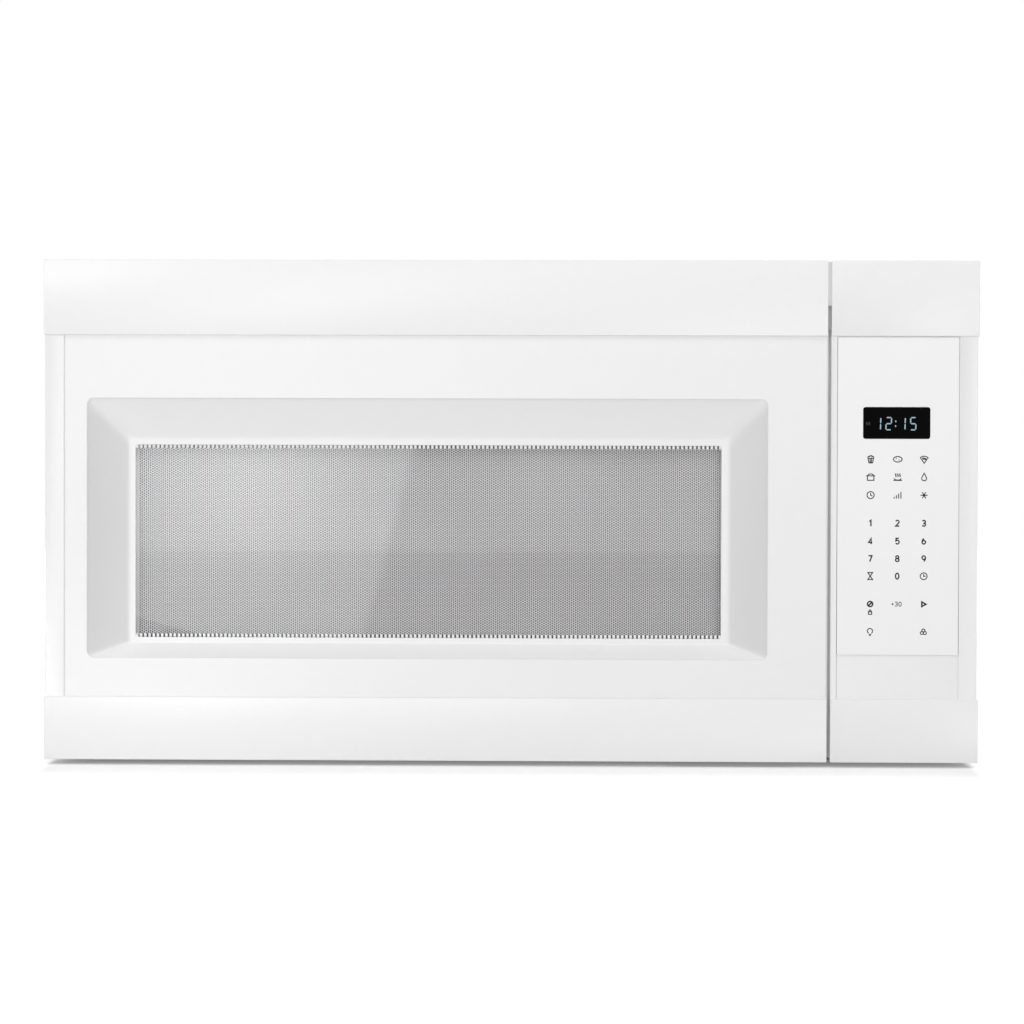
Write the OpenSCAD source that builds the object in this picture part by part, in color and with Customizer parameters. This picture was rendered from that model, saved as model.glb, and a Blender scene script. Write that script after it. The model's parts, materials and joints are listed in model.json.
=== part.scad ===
// Over-the-range microwave hood: oven, cooktop lamps and recirculating fan in one wall-hung case.
// Frame: X to the right seen from the front, Y towards the wall, Z up.
// Origin: centre of the footprint, on the plane that the underside rests on.

/* [Case] */
// Width of the whole front
body_w = 759; // [745:1:775]
// Height of the whole front
body_h = 408; // [404:1:430]
// Depth from the wall to the front face
body_d = 394; // [388:1:420]
// Thickness of the case's sheet steel
sheet_t = 1.2; // [0.8:0.1:1.6]
// How far each side of the case stands back from the front's edge
case_inset = 1.5; // [1.4:0.1:3]
// How far the case's top lies below the front's top edge
case_drop = 3; // [2.8:0.1:6]

/* [Door] */
// Width of the control column beside the door
control_w = 119.3; // [114:0.1:126]
// Thickness of the door
door_t = 42; // [41:0.5:46]
// Gap between the door and the oven's front flange
door_gap = 1.5; // [1.2:0.1:2]
// Gap between the door and the control fascia
side_gap = 2.9; // [2:0.1:4]
// Height of the door's lower edge above the underside
door_lift = 1.3; // [1:0.1:3]
// Thickness of the moulded front skins
skin_t = 2.5; // [2:0.1:3]
// Height of the band across the top
top_band_h = 61; // [55:0.5:65]
// Height of the band across the bottom
bottom_band_h = 52.5; // [48:0.5:56]
// Width of the bands at the two sides
side_band_w = 16.4; // [14:0.1:18]
// How far the door panel laps behind the bands
band_lap = 5; // [3:0.5:8]
// Radius of the panel's rolled pull edge
pull_r = 6; // [4:0.5:7]
// Length of the finger pull in the door's underside
pull_l = 100; // [80:1:120]
// Height of the finger pull
pull_h = 21; // [16:0.5:22]

/* [Window] */
// Distance from the door's left edge to the window recess
recess_left = 34.6; // [30:0.1:40]
// Distance from the door's right edge to the window recess
recess_right = 47.8; // [42:0.1:56]
// Height of the recess's lower edge above the underside
recess_z = 84; // [80:0.5:88]
// Distance from the top band down to the window recess
recess_top = 51; // [44:0.5:58]
// Air gap between the window glass and the perforated sheet behind it
glass_gap = 2.6; // [1:0.1:4]
// Corner radius of the window recess
recess_r = 6; // [4:0.5:8]
// Width of the sloping face at each side of the recess
slope_side = 31.5; // [25:0.5:36]
// Height of the sloping face above the window
slope_top = 34.3; // [28:0.1:38]
// Height of the sloping face below the window
slope_bottom = 12; // [8:0.5:16]
// Width of the flat rim round the glass
rim_w = 6; // [4:0.5:8]
// Thickness of the outer window glass
glass_t = 3.2; // [2.5:0.1:3.4]
// How far the glass laps behind the rim
glass_lap = 5; // [3:0.5:5.5]

/* [Control column] */
// Width of the key film
film_w = 98.9; // [90:0.1:100]
// Distance from the fascia's left edge to the key film
film_left = 4.7; // [4:0.1:6]
// Height of the film's lower edge above the underside
film_z = 88.8; // [80:0.1:100]
// Thickness of the key film
film_t = 0.5; // [0.4:0.1:0.8]
// How far the key film's seat stands back from the bands
film_step = 1.4; // [1:0.1:1.8]
// Width of the display window
display_w = 54.2; // [50:0.1:58]
// Height of the display window
display_h = 25.7; // [22:0.1:28]
// Height of the display window's lower edge above the underside
display_z = 263.9; // [258:0.1:280]

/* [Oven] */
// Distance that the door reaches past the oven's latch side
latch_side = 55.3; // [53:0.1:60]
// Height of the air space over the oven
top_space = 106.8; // [104:0.1:112]
// Depth of the space behind the oven
back_space = 25.8; // [24:0.1:30]
// Height of the oven's floor above the underside
oven_z = 50; // [48:0.5:52]
// Distance from the case's left side to the oven
oven_left = 40; // [38:0.5:42]
// Thickness of the oven's sheet steel
oven_t = 1; // [0.8:0.1:1.2]
// Overlap of the door's choke frame round the oven's mouth at the sides
choke_side = 22; // [20:0.5:22.5]
// Overlap of the door's choke frame above and below the oven's mouth
choke_end = 30; // [28:0.5:32]

/* [Turntable] */
// Clearance between the glass tray and the oven's front and back
tray_clear = 8.75; // [7:0.05:16]
// Height of the tray's rim
tray_h = 18; // [14:0.5:22]
// Thickness of the tray's glass
tray_t = 4.5; // [4:0.1:6]
// Radius of the rollers
roller_r = 7; // [6:0.1:8]
// Distance from the tray's edge in to the middle of a roller
roller_in = 37; // [36:0.5:46]
// Width of a roller
roller_w = 7; // [5:0.5:9]
// Running clearance round a shaft or pin
run_fit = 0.08; // [0.06:0.01:0.1]
// Gap between parts that move past each other
move_gap = 0.3; // [0.25:0.05:0.4]

/* [Hinge and latch] */
// Distance of the hinge axis from the front's left edge
hinge_in = 11.5; // [11:0.1:12]
// Distance of the hinge axis in front of the oven's flange
hinge_fwd = 14.5; // [14:0.1:15]
// Radius of the hinge pins
hinge_pin_r = 3; // [2.5:0.1:3.5]
// Thickness of the hinge plates
hinge_t = 2.5; // [2:0.1:3]
// Lift of the latch hooks
latch_lift = 4; // [3:0.1:5]

/* [Hood] */
// Distance from the case's side to a grease filter
filter_side = 31.8; // [24:0.1:50]
// Width of a grease filter
filter_w = 152; // [145:1:158]
// Thickness of a grease filter
filter_t = 8; // [6:0.5:10]
// Ledge that a grease filter rests on
filter_ledge = 5; // [4:0.5:8]
// Travel of a grease filter in its track
filter_travel = 10; // [8:0.5:12]
// Length of a blower wheel
wheel_l = 70; // [60:1:76]
// Width of the duct opening in the top
duct_w = 254; // [250:1:258]
// Depth of the duct opening in the top
duct_d = 83; // [80:1:86]

/* [Fixing] */
// Spacing of the two cabinet bolts
bolt_dx = 610; // [600:1:620]
// Radius of the cabinet bolts' threaded holes
bolt_r = 3.175; // [3:0.005:4]
// Distance of the cabinet bolts behind the oven's flange
bolt_fwd = 93.5; // [88:0.5:110]

/* [Hidden] */
$fn = 48;

// Main planes of the case and the door
x_left = -body_w / 2;
x_right = body_w / 2;
door_w = body_w - control_w - side_gap;
y_front = -body_d / 2;
y_back = body_d / 2;
y_door = y_front + door_t;
y_flange = y_door + door_gap;
x_door = x_left + door_w;
x_ctl = x_door + side_gap;
x_case = x_right - case_inset;
x_in = x_case - sheet_t;
// Seam between the top sheet and each side sheet
seam = 0.1;
z_case = body_h - case_drop;
z_in = z_case - sheet_t;
z_band = body_h - top_band_h;
x_band = x_left + side_band_w;

// The oven, its front flange and the space above it
ox0 = -x_case + oven_left;
ox1 = x_door - latch_side;
oy1 = y_back - sheet_t - back_space - oven_t;
oz1 = z_in - top_space - oven_t;
oven_top = oz1 + oven_t;
oven_bottom = oven_z - oven_t;
flange_z0 = 30;
flange_z1 = z_case - 33;
flange_x1 = x_door - 2.3;
turn_x = (ox0 + ox1) / 2;
turn_y = (y_flange + oy1) / 2;

// The window, from the recess inwards
rx0 = x_left + recess_left;
rx1 = x_door - recess_right;
rz0 = recess_z;
rz1 = z_band - recess_top;
fx0 = rx0 + slope_side;
fx1 = rx1 - slope_side + 2;
fz0 = rz0 + slope_bottom;
fz1 = rz1 - slope_top;
wx0 = fx0 + rim_w;
wx1 = fx1 - rim_w - 1.4;
wz0 = fz0 + rim_w - 1.9;
wz1 = fz1 - rim_w + 2.3;
window_r = 4;
y_panel = y_front + skin_t;
cover_t = 1.5;
choke_t = 1;
choke_depth = 17;
screen_t = 0.7;
cy1 = y_door - cover_t;
cy0 = cy1 - choke_depth + cover_t;
y_glass = cy0 - screen_t - glass_gap - glass_t;
y_floor = y_glass - skin_t;
glass_x0 = wx0 - glass_lap;
glass_x1 = wx1 + glass_lap;
glass_z0 = wz0 - glass_lap;
glass_z1 = wz1 + glass_lap;

// The door's choke frame
cx0 = ox0 - choke_side;
cx1 = ox1 + choke_side + 8;
cz0 = oven_z - choke_end;
cz1 = oz1 + choke_end + 4;

// Hinge and latch places
hinge_x = x_left + hinge_in;
hinge_y = y_flange - hinge_fwd;
hinge_head_r = 7;
washer_t = 2.7;
latch_x0 = cx1 + move_gap;
latch_x1 = latch_x0 + 11.5;
hook_x0 = latch_x0 + 3;
hook_w = 5;
hook_mid = (oven_z + oz1) / 2 + 32;
hook_z = [hook_mid - 55, hook_mid + 55];
hook_h = 8;
latch_y1 = cy1 - move_gap;
latch_y0 = latch_y1 - 11;
latch_z0 = hook_z[0] - 38;
latch_z1 = hook_z[1] + 32;
slot_gap = 1.6;

// The key film, the display and the control board
film_x0 = x_ctl + film_left;
film_x1 = film_x0 + film_w;
film_z1 = z_band - 1;
y_film = y_front + film_step;
display_x0 = film_x0 + film_w / 2 - display_w / 2 - 1.3;
board_y = y_flange - 16.5;
board_t = 1.6;

// Turntable heights
roller_z = oven_z + move_gap + roller_r;
tray_z = roller_z + roller_r + move_gap;

// Hood places
filter_gap = 30;
filter_l = x_in - filter_side - filter_gap / 2;
filter_y0 = y_back - sheet_t - filter_travel - filter_w - 12;
filter_z = sheet_t + move_gap;
grille_d = 48.5;
grille_y1 = y_flange + grille_d;
blower_y = y_back - 70;
scroll_r = (top_space - 10.8) / 2;
blower_z = oven_top + scroll_r + 2;
wheel_r = scroll_r - 10;
scroll_w = wheel_l + 14;
motor_half = 40;
duct_y1 = y_back - 12;
fan_x = (ox1 + x_in) / 2 + 2;
fan_z = 185;
fan_y = y_back - 44;
fan_r = 50;

// Fills a box given by its lowest and highest places along each axis
module block(x0, x1, y0, y1, z0, z1) {
  translate([x0, y0, z0]) cube([x1 - x0, y1 - y0, z1 - z0]);
}

// Draws a rectangle by its edges
module rect(a0, a1, b0, b1) {
  translate([a0, b0]) square([a1 - a0, b1 - b0]);
}

// Draws a rectangle with round corners by its edges
module round_rect(a0, a1, b0, b1, r) {
  rect(a0 + r, a1 - r, b0, b1);
  rect(a0, a1, b0 + r, b1 - r);
  for (a = [a0 + r, a1 - r], b = [b0 + r, b1 - r]) translate([a, b]) circle(r);
}

// Gives a drawing in X and Z its thickness along Y
module slab_y(y0, y1) {
  translate([0, y1, 0]) rotate([90, 0, 0]) linear_extrude(y1 - y0) children();
}

// Gives a drawing in Y and Z its thickness along X
module slab_x(x0, x1) {
  translate([x0, 0, 0]) rotate([90, 0, 90]) linear_extrude(x1 - x0) children();
}

// Stands a round bar on (x, y) between two heights
module post(x, y, z0, z1, r) {
  translate([x, y, z0]) cylinder(r = r, h = z1 - z0);
}

// Lays a round bar along X
module bar_x(x0, x1, y, z, r) {
  translate([x0, y, z]) rotate([0, 90, 0]) cylinder(r = r, h = x1 - x0);
}

// Lays a round bar along Y
module bar_y(x, y0, y1, z, r) {
  translate([x, y0, z]) rotate([-90, 0, 0]) cylinder(r = r, h = y1 - y0);
}

// Sweeps a round section of radius r along points p, with n sides
module tube_along(p, r, n) {
  m = len(p);
  dir = [for (i = [0:m - 1]) p[min(i + 1, m - 1)] - p[max(i - 1, 0)]];
  ring = [for (i = [0:m - 1])
    let (t = dir[i] / norm(dir[i]),
         up = abs(t[2]) > 0.9 ? [1, 0, 0] : [0, 0, 1],
         s0 = cross(t, up), s = s0 / norm(s0), u = cross(s, t))
    for (k = [0:n - 1]) p[i] + r * (cos(360 * k / n) * s + sin(360 * k / n) * u)];
  side = [for (i = [0:m - 2], k = [0:n - 1])
    let (a = i * n + k, b = i * n + (k + 1) % n) each [[a, b, b + n], [a, b + n, a + n]]];
  caps = [for (k = [1:n - 2]) each
    [[0, k + 1, k], [(m - 1) * n, (m - 1) * n + k, (m - 1) * n + k + 1]]];
  polyhedron(ring, concat(side, caps));
}

// Extra places worked out from the values above
band_inset = 1;
side_step = 1;
x_edge = x_door - 0.8;
pocket_z0 = bottom_band_h;
pocket_z1 = flange_z1;
bolt_y = y_flange + bolt_fwd;
duct_y0 = duct_y1 - duct_d;
gland_x = x_in - 46.8;
gland_y = y_back - 47;
gland_r = 10;
cord_r = 4.5;
side_screw_z = [60, z_in / 2, z_in - 60];
side_screw_y = y_back - 9;
screw_r = 2;
screw_head_r = 4;
screw_head_h = 1.4;
lens_x = [32 - ox1, ox1 - 32];
lens_w = 90;
lens_d = 50;
lens_y0 = y_flange + 38;
lens_t = 3;
lens_lap = 4;
filter_x = [-(filter_l + filter_gap) / 2, (filter_l + filter_gap) / 2];

// Places of the control board, its posts and the membrane's tail
tail_x0 = x_ctl + 44;
tail_w = 30;
tail_z = film_z + 8;
ctl_x0 = x_ctl + 18;
ctl_x1 = x_right - 7;
ctl_z0 = film_z - 10.8;
ctl_z1 = z_band - 7;
ctl_post_x = [ctl_x0 + 6, ctl_x1 - 6];
ctl_post_z = [ctl_z0 + 6, (ctl_z0 + ctl_z1) / 2, ctl_z1 - 6];

// Places for the case's side of the latch
slot_x0 = hook_x0 - slot_gap;
slot_x1 = hook_x0 + hook_w + slot_gap;
slot_low = hook_h / 2 + slot_gap;
slot_high = hook_h / 2 + latch_lift + 0.4;
board_plate_t = 2.5;
hook_tip_y = y_flange + oven_t + 13;

// Painted sheets of the left side, the right side and the top, parted by fine seams
module case_wrap() {
  top_x = x_in - seam;
  color("gainsboro") {
    for (s = [-1, 1]) difference() {
      block(min(s * x_in, s * x_case), max(s * x_in, s * x_case), y_flange, y_back, 0, z_case);
      for (z = side_screw_z) bar_x(s * x_case - 3, s * x_case + 3, side_screw_y, z, screw_r + 0.1);
    }
    difference() {
      block(-top_x, top_x, y_flange, y_back, z_in, z_case);
      block(-top_x - 1, flange_x1, y_flange - 1, grille_y1, z_in - 1, z_case + 1);
      block(-duct_w / 2, duct_w / 2, duct_y0, duct_y1, z_in - 1, z_case + 1);
      for (s = [-1, 1]) post(s * bolt_dx / 2, bolt_y, z_in - 1, z_case + 1, bolt_r + 2);
      post(gland_x, gland_y, z_in - 1, z_case + 1, gland_r);
      duct_screws() post(0, 0, z_in - 1, z_case + 1, screw_r + 0.1);
    }
  }
}

// Puts its child at the four screws of the duct cover
module duct_screws() {
  for (x = [-duct_w / 2 - 8, duct_w / 2 + 8], y = [duct_y0 + 4, duct_y1 - 4]) translate([x, y, 0]) children();
}

// Outline of one grease filter's opening in the base pan
module filter_window(x) {
  rect(x - filter_l / 2 + filter_ledge, x + filter_l / 2 - filter_ledge,
    filter_y0 + filter_ledge, filter_y0 + filter_w - filter_ledge);
}

// Track for one end of a grease filter, open towards the side given by s
module filter_track(x, s) {
  wall = x + s * 0.5;
  top = filter_z + filter_t + move_gap;
  y0 = filter_y0 + 6;
  y1 = filter_y0 + filter_w - 6;
  block(min(wall, wall + s * sheet_t), max(wall, wall + s * sheet_t), y0, y1, sheet_t, top);
  block(min(wall - s * 5, wall + s * sheet_t), max(wall - s * 5, wall + s * sheet_t), y0, y1,
    top, top + sheet_t);
}

// Underside of the case, with the openings of the filters and the cooktop lamps
module base_pan() {
  color("silver") {
    linear_extrude(sheet_t) difference() {
      rect(-x_in, x_in, y_flange, y_back - sheet_t);
      for (x = filter_x) filter_window(x);
      for (x = lens_x) rect(x - lens_w / 2 + lens_lap, x + lens_w / 2 - lens_lap,
        lens_y0 + lens_lap, lens_y0 + lens_d - lens_lap);
      for (i = [0:8]) translate([x_in - 108.8 + i * 11, y_flange + 12]) square([5, 50]);
    }
    block(-x_in, x_in, y_flange, y_flange + sheet_t, sheet_t, flange_z0);
    for (s = [-1, 1]) block(min(s * x_in, s * (x_in - sheet_t)), max(s * x_in, s * (x_in - sheet_t)),
      y_flange + sheet_t, y_back - sheet_t, sheet_t, 18);
    for (x = filter_x, s = [-1, 1]) filter_track(x + s * filter_l / 2, s);
  }
}

slot_dx = 250;

// Back of the case, with the slots that hang on a wall plate
module back_panel() {
  flange = 14;
  color("silver") {
    slab_y(y_back - sheet_t, y_back) difference() {
      rect(-x_in, x_in, 0, z_in);
      for (x = [-1, 0, 1] * slot_dx) rect(x - 32, x + 32, 24, 33);
    }
    difference() {
      for (s = [-1, 1]) block(min(s * x_in, s * (x_in - sheet_t)), max(s * x_in, s * (x_in - sheet_t)),
        y_back - sheet_t - flange, y_back - sheet_t, 20, z_in - 10);
      for (s = [-1, 1], z = side_screw_z) bar_x(s * x_in - 4, s * x_in + 4, side_screw_y, z, screw_r + 0.1);
    }
  }
}

// Places in the oven's right wall
mouth_y = [oy1 - 99, oy1 - 53];
mouth_z = [oven_z + 54, oven_z + 94];
lamp_y = y_flange + 83.5;
lamp_z = oz1 - 60;

// Welded oven: the cavity and the flange round its mouth
module oven_cavity() {
  color("lightgray") difference() {
    union() {
      block(ox0 - oven_t, ox1 + oven_t, y_flange, oy1 + oven_t, oven_bottom, oven_top);
      block(-x_in, flange_x1, y_flange, y_flange + oven_t, flange_z0, flange_z1);
    }
    block(ox0, ox1, y_flange - 1, oy1, oven_z, oz1);
    post(turn_x, turn_y, oven_bottom - 1, oven_z + 1, shaft_r + 2);
    block(ox1 - 1, ox1 + oven_t + 1, mouth_y[0], mouth_y[1], mouth_z[0], mouth_z[1]);
    for (i = [-2:2], j = [-2:2]) bar_x(ox1 - 1, ox1 + oven_t + 1, lamp_y + i * 6, lamp_z + j * 6, 1.6);
    for (i = [0:7], j = [0:3]) bar_x(ox0 - oven_t - 1, ox0 + 1, oy1 - 129 + i * 8, oz1 - 66 + j * 8, 2);
    for (z = hook_z)
      block(slot_x0, slot_x1, y_flange - 1, y_flange + oven_t + 1, z - slot_low, z + slot_high);
  }
}

shelf_y0 = filter_y0 - 3;

// Shelf that parts the electric bay from the air drawn in through the right filter
module component_shelf() {
  y0 = shelf_y0;
  color("silver") {
    block(ox1 + oven_t, x_in - sheet_t, y0, y_back - sheet_t, oven_bottom - sheet_t, oven_bottom);
    block(ox1 + oven_t, x_in - sheet_t, y0, y0 + sheet_t, sheet_t, oven_bottom - sheet_t);
  }
}

// Steel front of the electric bay, which the control fascia screws to
module control_bracket() {
  color("silver") slab_y(y_flange, y_flange + sheet_t) difference() {
    rect(flange_x1, x_in, flange_z0, z_in);
    for (z = [ctl_z1 - 40, ctl_z0 + 2]) rect(ctl_x1 - 70, ctl_x1 - 12, z, z + 50);
  }
}

// Moulded grille behind the top of the door, where the filtered air leaves
module vent_grille() {
  wall = 2;
  color("white") {
    slab_y(y_flange, y_flange + wall) difference() {
      rect(-x_in, flange_x1, flange_z1, z_in);
      for (x = [16.8 - x_in:12:flange_x1 - 17]) rect(x, x + 6, flange_z1 + 6, z_in - 8);
    }
    translate([0, 0, z_in - wall]) linear_extrude(wall) difference() {
      rect(-x_in, flange_x1, y_flange, grille_y1);
      for (x = [16.8 - x_in:12:flange_x1 - 17]) rect(x, x + 6, y_flange + 8, grille_y1 - 6);
    }
  }
}

// Replaceable filter that stands in the air's way to the grille
module charcoal_filter() {
  half = 160;
  color("dimgray") translate([0, grille_y1 + 26, 0]) rotate([90, 0, 0]) linear_extrude(18) difference() {
    rect(-half, half, oven_top, oven_top + 96);
    for (x = [-half + 8:14:half - 16], z = [oven_top + 8:16:oven_top + 80]) rect(x, x + 9, z, z + 11);
  }
}

// Plate over the unused duct opening in the top
module duct_cover() {
  color("silver") difference() {
    block(-duct_w / 2 - 16, duct_w / 2 + 16, duct_y0 - 6, duct_y1 + 6, z_case, z_case + sheet_t);
    duct_screws() post(0, 0, z_case - 1, z_case + sheet_t + 1, screw_r + 0.1);
  }
}

// Threaded plates under the top that the two cabinet bolts screw into
module bolt_plates() {
  color("dimgray") for (s = [-1, 1]) difference() {
    block(s * bolt_dx / 2 - 22, s * bolt_dx / 2 + 22, bolt_y - 16, bolt_y + 16, z_in - 5, z_in);
    post(s * bolt_dx / 2, bolt_y, z_in - 6, z_in + 1, bolt_r);
  }
}

// Bushing in the top that a power cord leaves through
module cord_gland() {
  color("dimgray") translate([gland_x, gland_y, 0]) rotate_extrude() difference() {
    union() {
      rect(0, gland_r - 0.05, z_in - 6, body_h - 0.5);
      rect(0, gland_r + 3, z_case, z_case + 1.8);
      rect(0, gland_r + 1.5, z_in - 3, z_in);
    }
    rect(-1, cord_r, z_in - 7, body_h);
  }
}

// Screws of the case sides and of the duct cover
module case_screws() {
  color("silver") {
    for (s = [-1, 1], z = side_screw_z) {
      bar_x(min(s * x_case, s * (x_case + screw_head_h)), max(s * x_case, s * (x_case + screw_head_h)),
        side_screw_y, z, screw_head_r);
      bar_x(min(s * x_case, s * (x_case - 7)), max(s * x_case, s * (x_case - 7)), side_screw_y, z, screw_r);
    }
    duct_screws() {
      post(0, 0, z_case + sheet_t, z_case + sheet_t + screw_head_h, screw_head_r);
      post(0, 0, z_case - 6, z_case + sheet_t, screw_r);
    }
  }
}

// Grease filter: a mesh of folded aluminium in its frame, with a pull ring
module grease_filter(x) {
  edge = 9;
  pitch = 10;
  x0 = x - filter_l / 2;
  x1 = x + filter_l / 2;
  y0 = filter_y0;
  y1 = filter_y0 + filter_w;
  translate([0, 0, filter_z]) {
    linear_extrude(filter_t) difference() {
      rect(x0, x1, y0, y1);
      rect(x0 + edge, x1 - edge, y0 + edge, y1 - edge);
    }
    translate([0, 0, filter_t * 0.3]) linear_extrude(filter_t * 0.4) difference() {
      rect(x0 + edge, x1 - edge, y0 + edge, y1 - edge);
      for (a = [x0 + edge + 3:pitch:x1 - edge - 7], b = [y0 + edge + 3:pitch:y1 - edge - 7])
        rect(a, a + 6.5, b, b + 6.5);
    }
  }
}

module grease_filter_left() {
  color("silver") grease_filter(filter_x[0]);
}

module grease_filter_right() {
  color("silver") grease_filter(filter_x[1]);
}

// Glass covers of the two cooktop lamps
module cooktop_lenses() {
  color("lightcyan") for (x = lens_x)
    block(x - lens_w / 2, x + lens_w / 2, lens_y0, lens_y0 + lens_d, sheet_t, sheet_t + lens_t);
}

// Sockets and bulbs over the lenses
module cooktop_lamps() {
  y = lens_y0 + lens_d / 2;
  z = sheet_t + lens_t + 18;
  for (x = lens_x) {
    color("ivory") difference() {
      block(x + 24, x + 44, y - 12, y + 12, z - 12, oven_bottom);
      bar_x(x + 23, x + 36, y, z, 8.1);
    }
    color("lightyellow") {
      bar_x(x + 10, x + 36, y, z, 8);
      bar_x(x - 22, x + 10, y, z, 11);
      translate([x - 22, y, z]) sphere(r = 11);
    }
  }
}

// Outline of a blower scroll in Y and Z, drawn smaller by the wall's thickness t
module scroll_shape(t) {
  translate([blower_y, blower_z]) {
    circle(scroll_r - t);
    rect(-scroll_r - 34, 0, 8 + t, scroll_r - t);
  }
}

// Twin scrolls that the vent wheels turn in, with their feet on the oven
module vent_blower_housing() {
  t = 1.5;
  color("lightgray") for (s = [-1, 1]) {
    x0 = s > 0 ? motor_half : -motor_half - scroll_w;
    x1 = x0 + scroll_w;
    difference() {
      slab_x(x0, x1) scroll_shape(0);
      slab_x(x0 + t, x1 - t) scroll_shape(t);
      block(x0 + t, x1 - t, blower_y - scroll_r - 40, blower_y - scroll_r - 30,
        blower_z + 8 + t, blower_z + scroll_r - t);
      bar_x(x0 - 1, x1 + 1, blower_y, blower_z, wheel_r - 8);
    }
    difference() {
      block(x0 + 10, x1 - 10, blower_y - 24, blower_y + 24, oven_top, blower_z - scroll_r + 9);
      bar_x(x0, x1, blower_y, blower_z, scroll_r - 0.5);
    }
  }
}

vent_shaft_r = 4;

// Motor between the two scrolls
module vent_motor() {
  half = motor_half - 7;
  color("gray") difference() {
    union() {
      bar_x(-half, half, blower_y, blower_z, 33);
      bar_x(-half - 4, half + 4, blower_y, blower_z, 12);
      block(-half + 6, half - 6, blower_y - 26, blower_y + 26, oven_top, blower_z - 22);
    }
    bar_x(-half - 5, half + 5, blower_y, blower_z, vent_shaft_r + run_fit);
  }
}

// One blower wheel along +X from the origin: a hub plate, blades and a rim
module blower_wheel() {
  depth = 7;
  blades = 24;
  rotate([0, 90, 0]) {
    linear_extrude(2) circle(wheel_r);
    cylinder(r = 11, h = 16);
    translate([0, 0, 1]) linear_extrude(wheel_l - 2)
      for (i = [0:blades - 1]) rotate(i * 360 / blades) rect(wheel_r - depth, wheel_r - 0.5, -0.6, 0.6);
    translate([0, 0, wheel_l - 2]) linear_extrude(2) difference() {
      circle(wheel_r);
      circle(wheel_r - depth);
    }
  }
}

// Shaft with a wheel at each end
module vent_rotor() {
  x0 = motor_half + 7;
  color("dimgray") {
    bar_x(-x0 - 16, x0 + 16, blower_y, blower_z, vent_shaft_r);
    translate([x0, blower_y, blower_z]) blower_wheel();
    translate([-x0, blower_y, blower_z]) mirror([1, 0, 0]) blower_wheel();
  }
}

// Places of the magnetron and its waveguide on the oven's right wall
guide_x0 = ox1 + oven_t;
guide_x1 = guide_x0 + 40;
guide_z = [mouth_z[0] - 8, mouth_z[1] + 106];
guide_y = [mouth_y[0] - 6, mouth_y[1] + 6];
mag_y = (mouth_y[0] + mouth_y[1]) / 2;
mag_z = guide_z[1] - 44;

// Duct that carries the microwaves from the magnetron to the oven
module waveguide() {
  color("silver") difference() {
    union() {
      block(guide_x0, guide_x1, guide_y[0], guide_y[1], guide_z[0], guide_z[1]);
      block(guide_x0, guide_x0 + 1.2, guide_y[0] - 8, guide_y[1] + 8, guide_z[0] - 8, guide_z[1] + 8);
    }
    block(guide_x0 - 1, guide_x1 - 1.2, guide_y[0] + 1.2, guide_y[1] - 1.2,
      guide_z[0] + 1.2, guide_z[1] - 1.2);
    bar_x(guide_x1 - 2, guide_x1 + 1, mag_y, mag_z, 12);
  }
}

// Mica sheet over the waveguide's mouth
module waveguide_cover() {
  color("tan") block(ox1 - 0.6, ox1, mouth_y[0] - 10, mouth_y[1] + 10, mouth_z[0] - 10, mouth_z[1] + 10);
}

// Magnetron: antenna, cooling fins in their yoke, and the filter box
module magnetron() {
  x0 = guide_x1;
  x1 = x0 + 84;
  color("silver") {
    bar_x(x0 - 20, x0 + 4, mag_y, mag_z, 9);
    slab_y(mag_y - 38, mag_y + 38) difference() {
      rect(x0, x1, mag_z - 40, mag_z + 40);
      rect(x0 + 2, x1 - 2, mag_z - 38, mag_z + 38);
    }
    for (i = [0:9])
      block(x0 + 9 + i * 7, x0 + 10 + i * 7, mag_y - 34, mag_y + 34, mag_z - 38.5, mag_z + 38.5);
    bar_x(x0 + 1, x1 - 1, mag_y, mag_z, 18);
    block(x1 - 1, x1 + 30, mag_y - 28, mag_y + 28, mag_z - 24, mag_z + 24);
  }
}

trafo_x = x_in - 58.8;
trafo_y = shelf_y0 - 54.3;

// High-voltage transformer on the base pan
module hv_transformer() {
  half_y = 32;
  color("dimgray") {
    difference() {
      block(trafo_x - 50, trafo_x + 50, trafo_y - half_y, trafo_y + half_y, sheet_t, sheet_t + 84);
      for (z = [18, 52]) block(trafo_x - 34, trafo_x + 34, trafo_y - half_y - 1, trafo_y + half_y + 1,
        sheet_t + z, sheet_t + z + 16);
    }
    block(trafo_x - 56, trafo_x + 56, trafo_y - half_y - 4, trafo_y + half_y + 4, sheet_t, sheet_t + 3);
  }
  color("peru") for (z = [19, 53], s = [-1, 1])
    block(trafo_x - 30, trafo_x + 30, s > 0 ? trafo_y + half_y : trafo_y - half_y - 12,
      s > 0 ? trafo_y + half_y + 12 : trafo_y - half_y, sheet_t + z - 6, sheet_t + z + 20);
}

// High-voltage capacitor with its terminals
module hv_capacitor() {
  x = ox1 + 32;
  y = y_flange + 38;
  color("silver") {
    translate([0, 0, sheet_t]) linear_extrude(78) round_rect(x - 18, x + 18, y - 26, y + 26, 15);
    for (s = [-1, 1]) {
      post(x, y + s * 12, sheet_t + 78, sheet_t + 83, 4);
      block(x - 0.4, x + 0.4, y + s * 12 - 3, y + s * 12 + 3, sheet_t + 83, sheet_t + 92);
    }
  }
}

// Mains filter board on its posts behind the top of the electric bay
module noise_filter() {
  x0 = x_in - 80.8;
  z0 = z_in - 85.8;
  y = y_back - sheet_t - 12;
  color("seagreen") block(x0, x0 + 66, y - 1.6, y, z0, z0 + 66);
  color("dimgray") {
    for (a = [6, 60], b = [6, 60]) bar_y(x0 + a, y, y_back - sheet_t, z0 + b, 3);
    bar_y(x0 + 22, y - 20, y - 1.6, z0 + 44, 14);
    block(x0 + 40, x0 + 60, y - 14, y - 1.6, z0 + 30, z0 + 58);
    block(x0 + 6, x0 + 34, y - 12, y - 1.6, z0 + 8, z0 + 22);
  }
}

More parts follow.
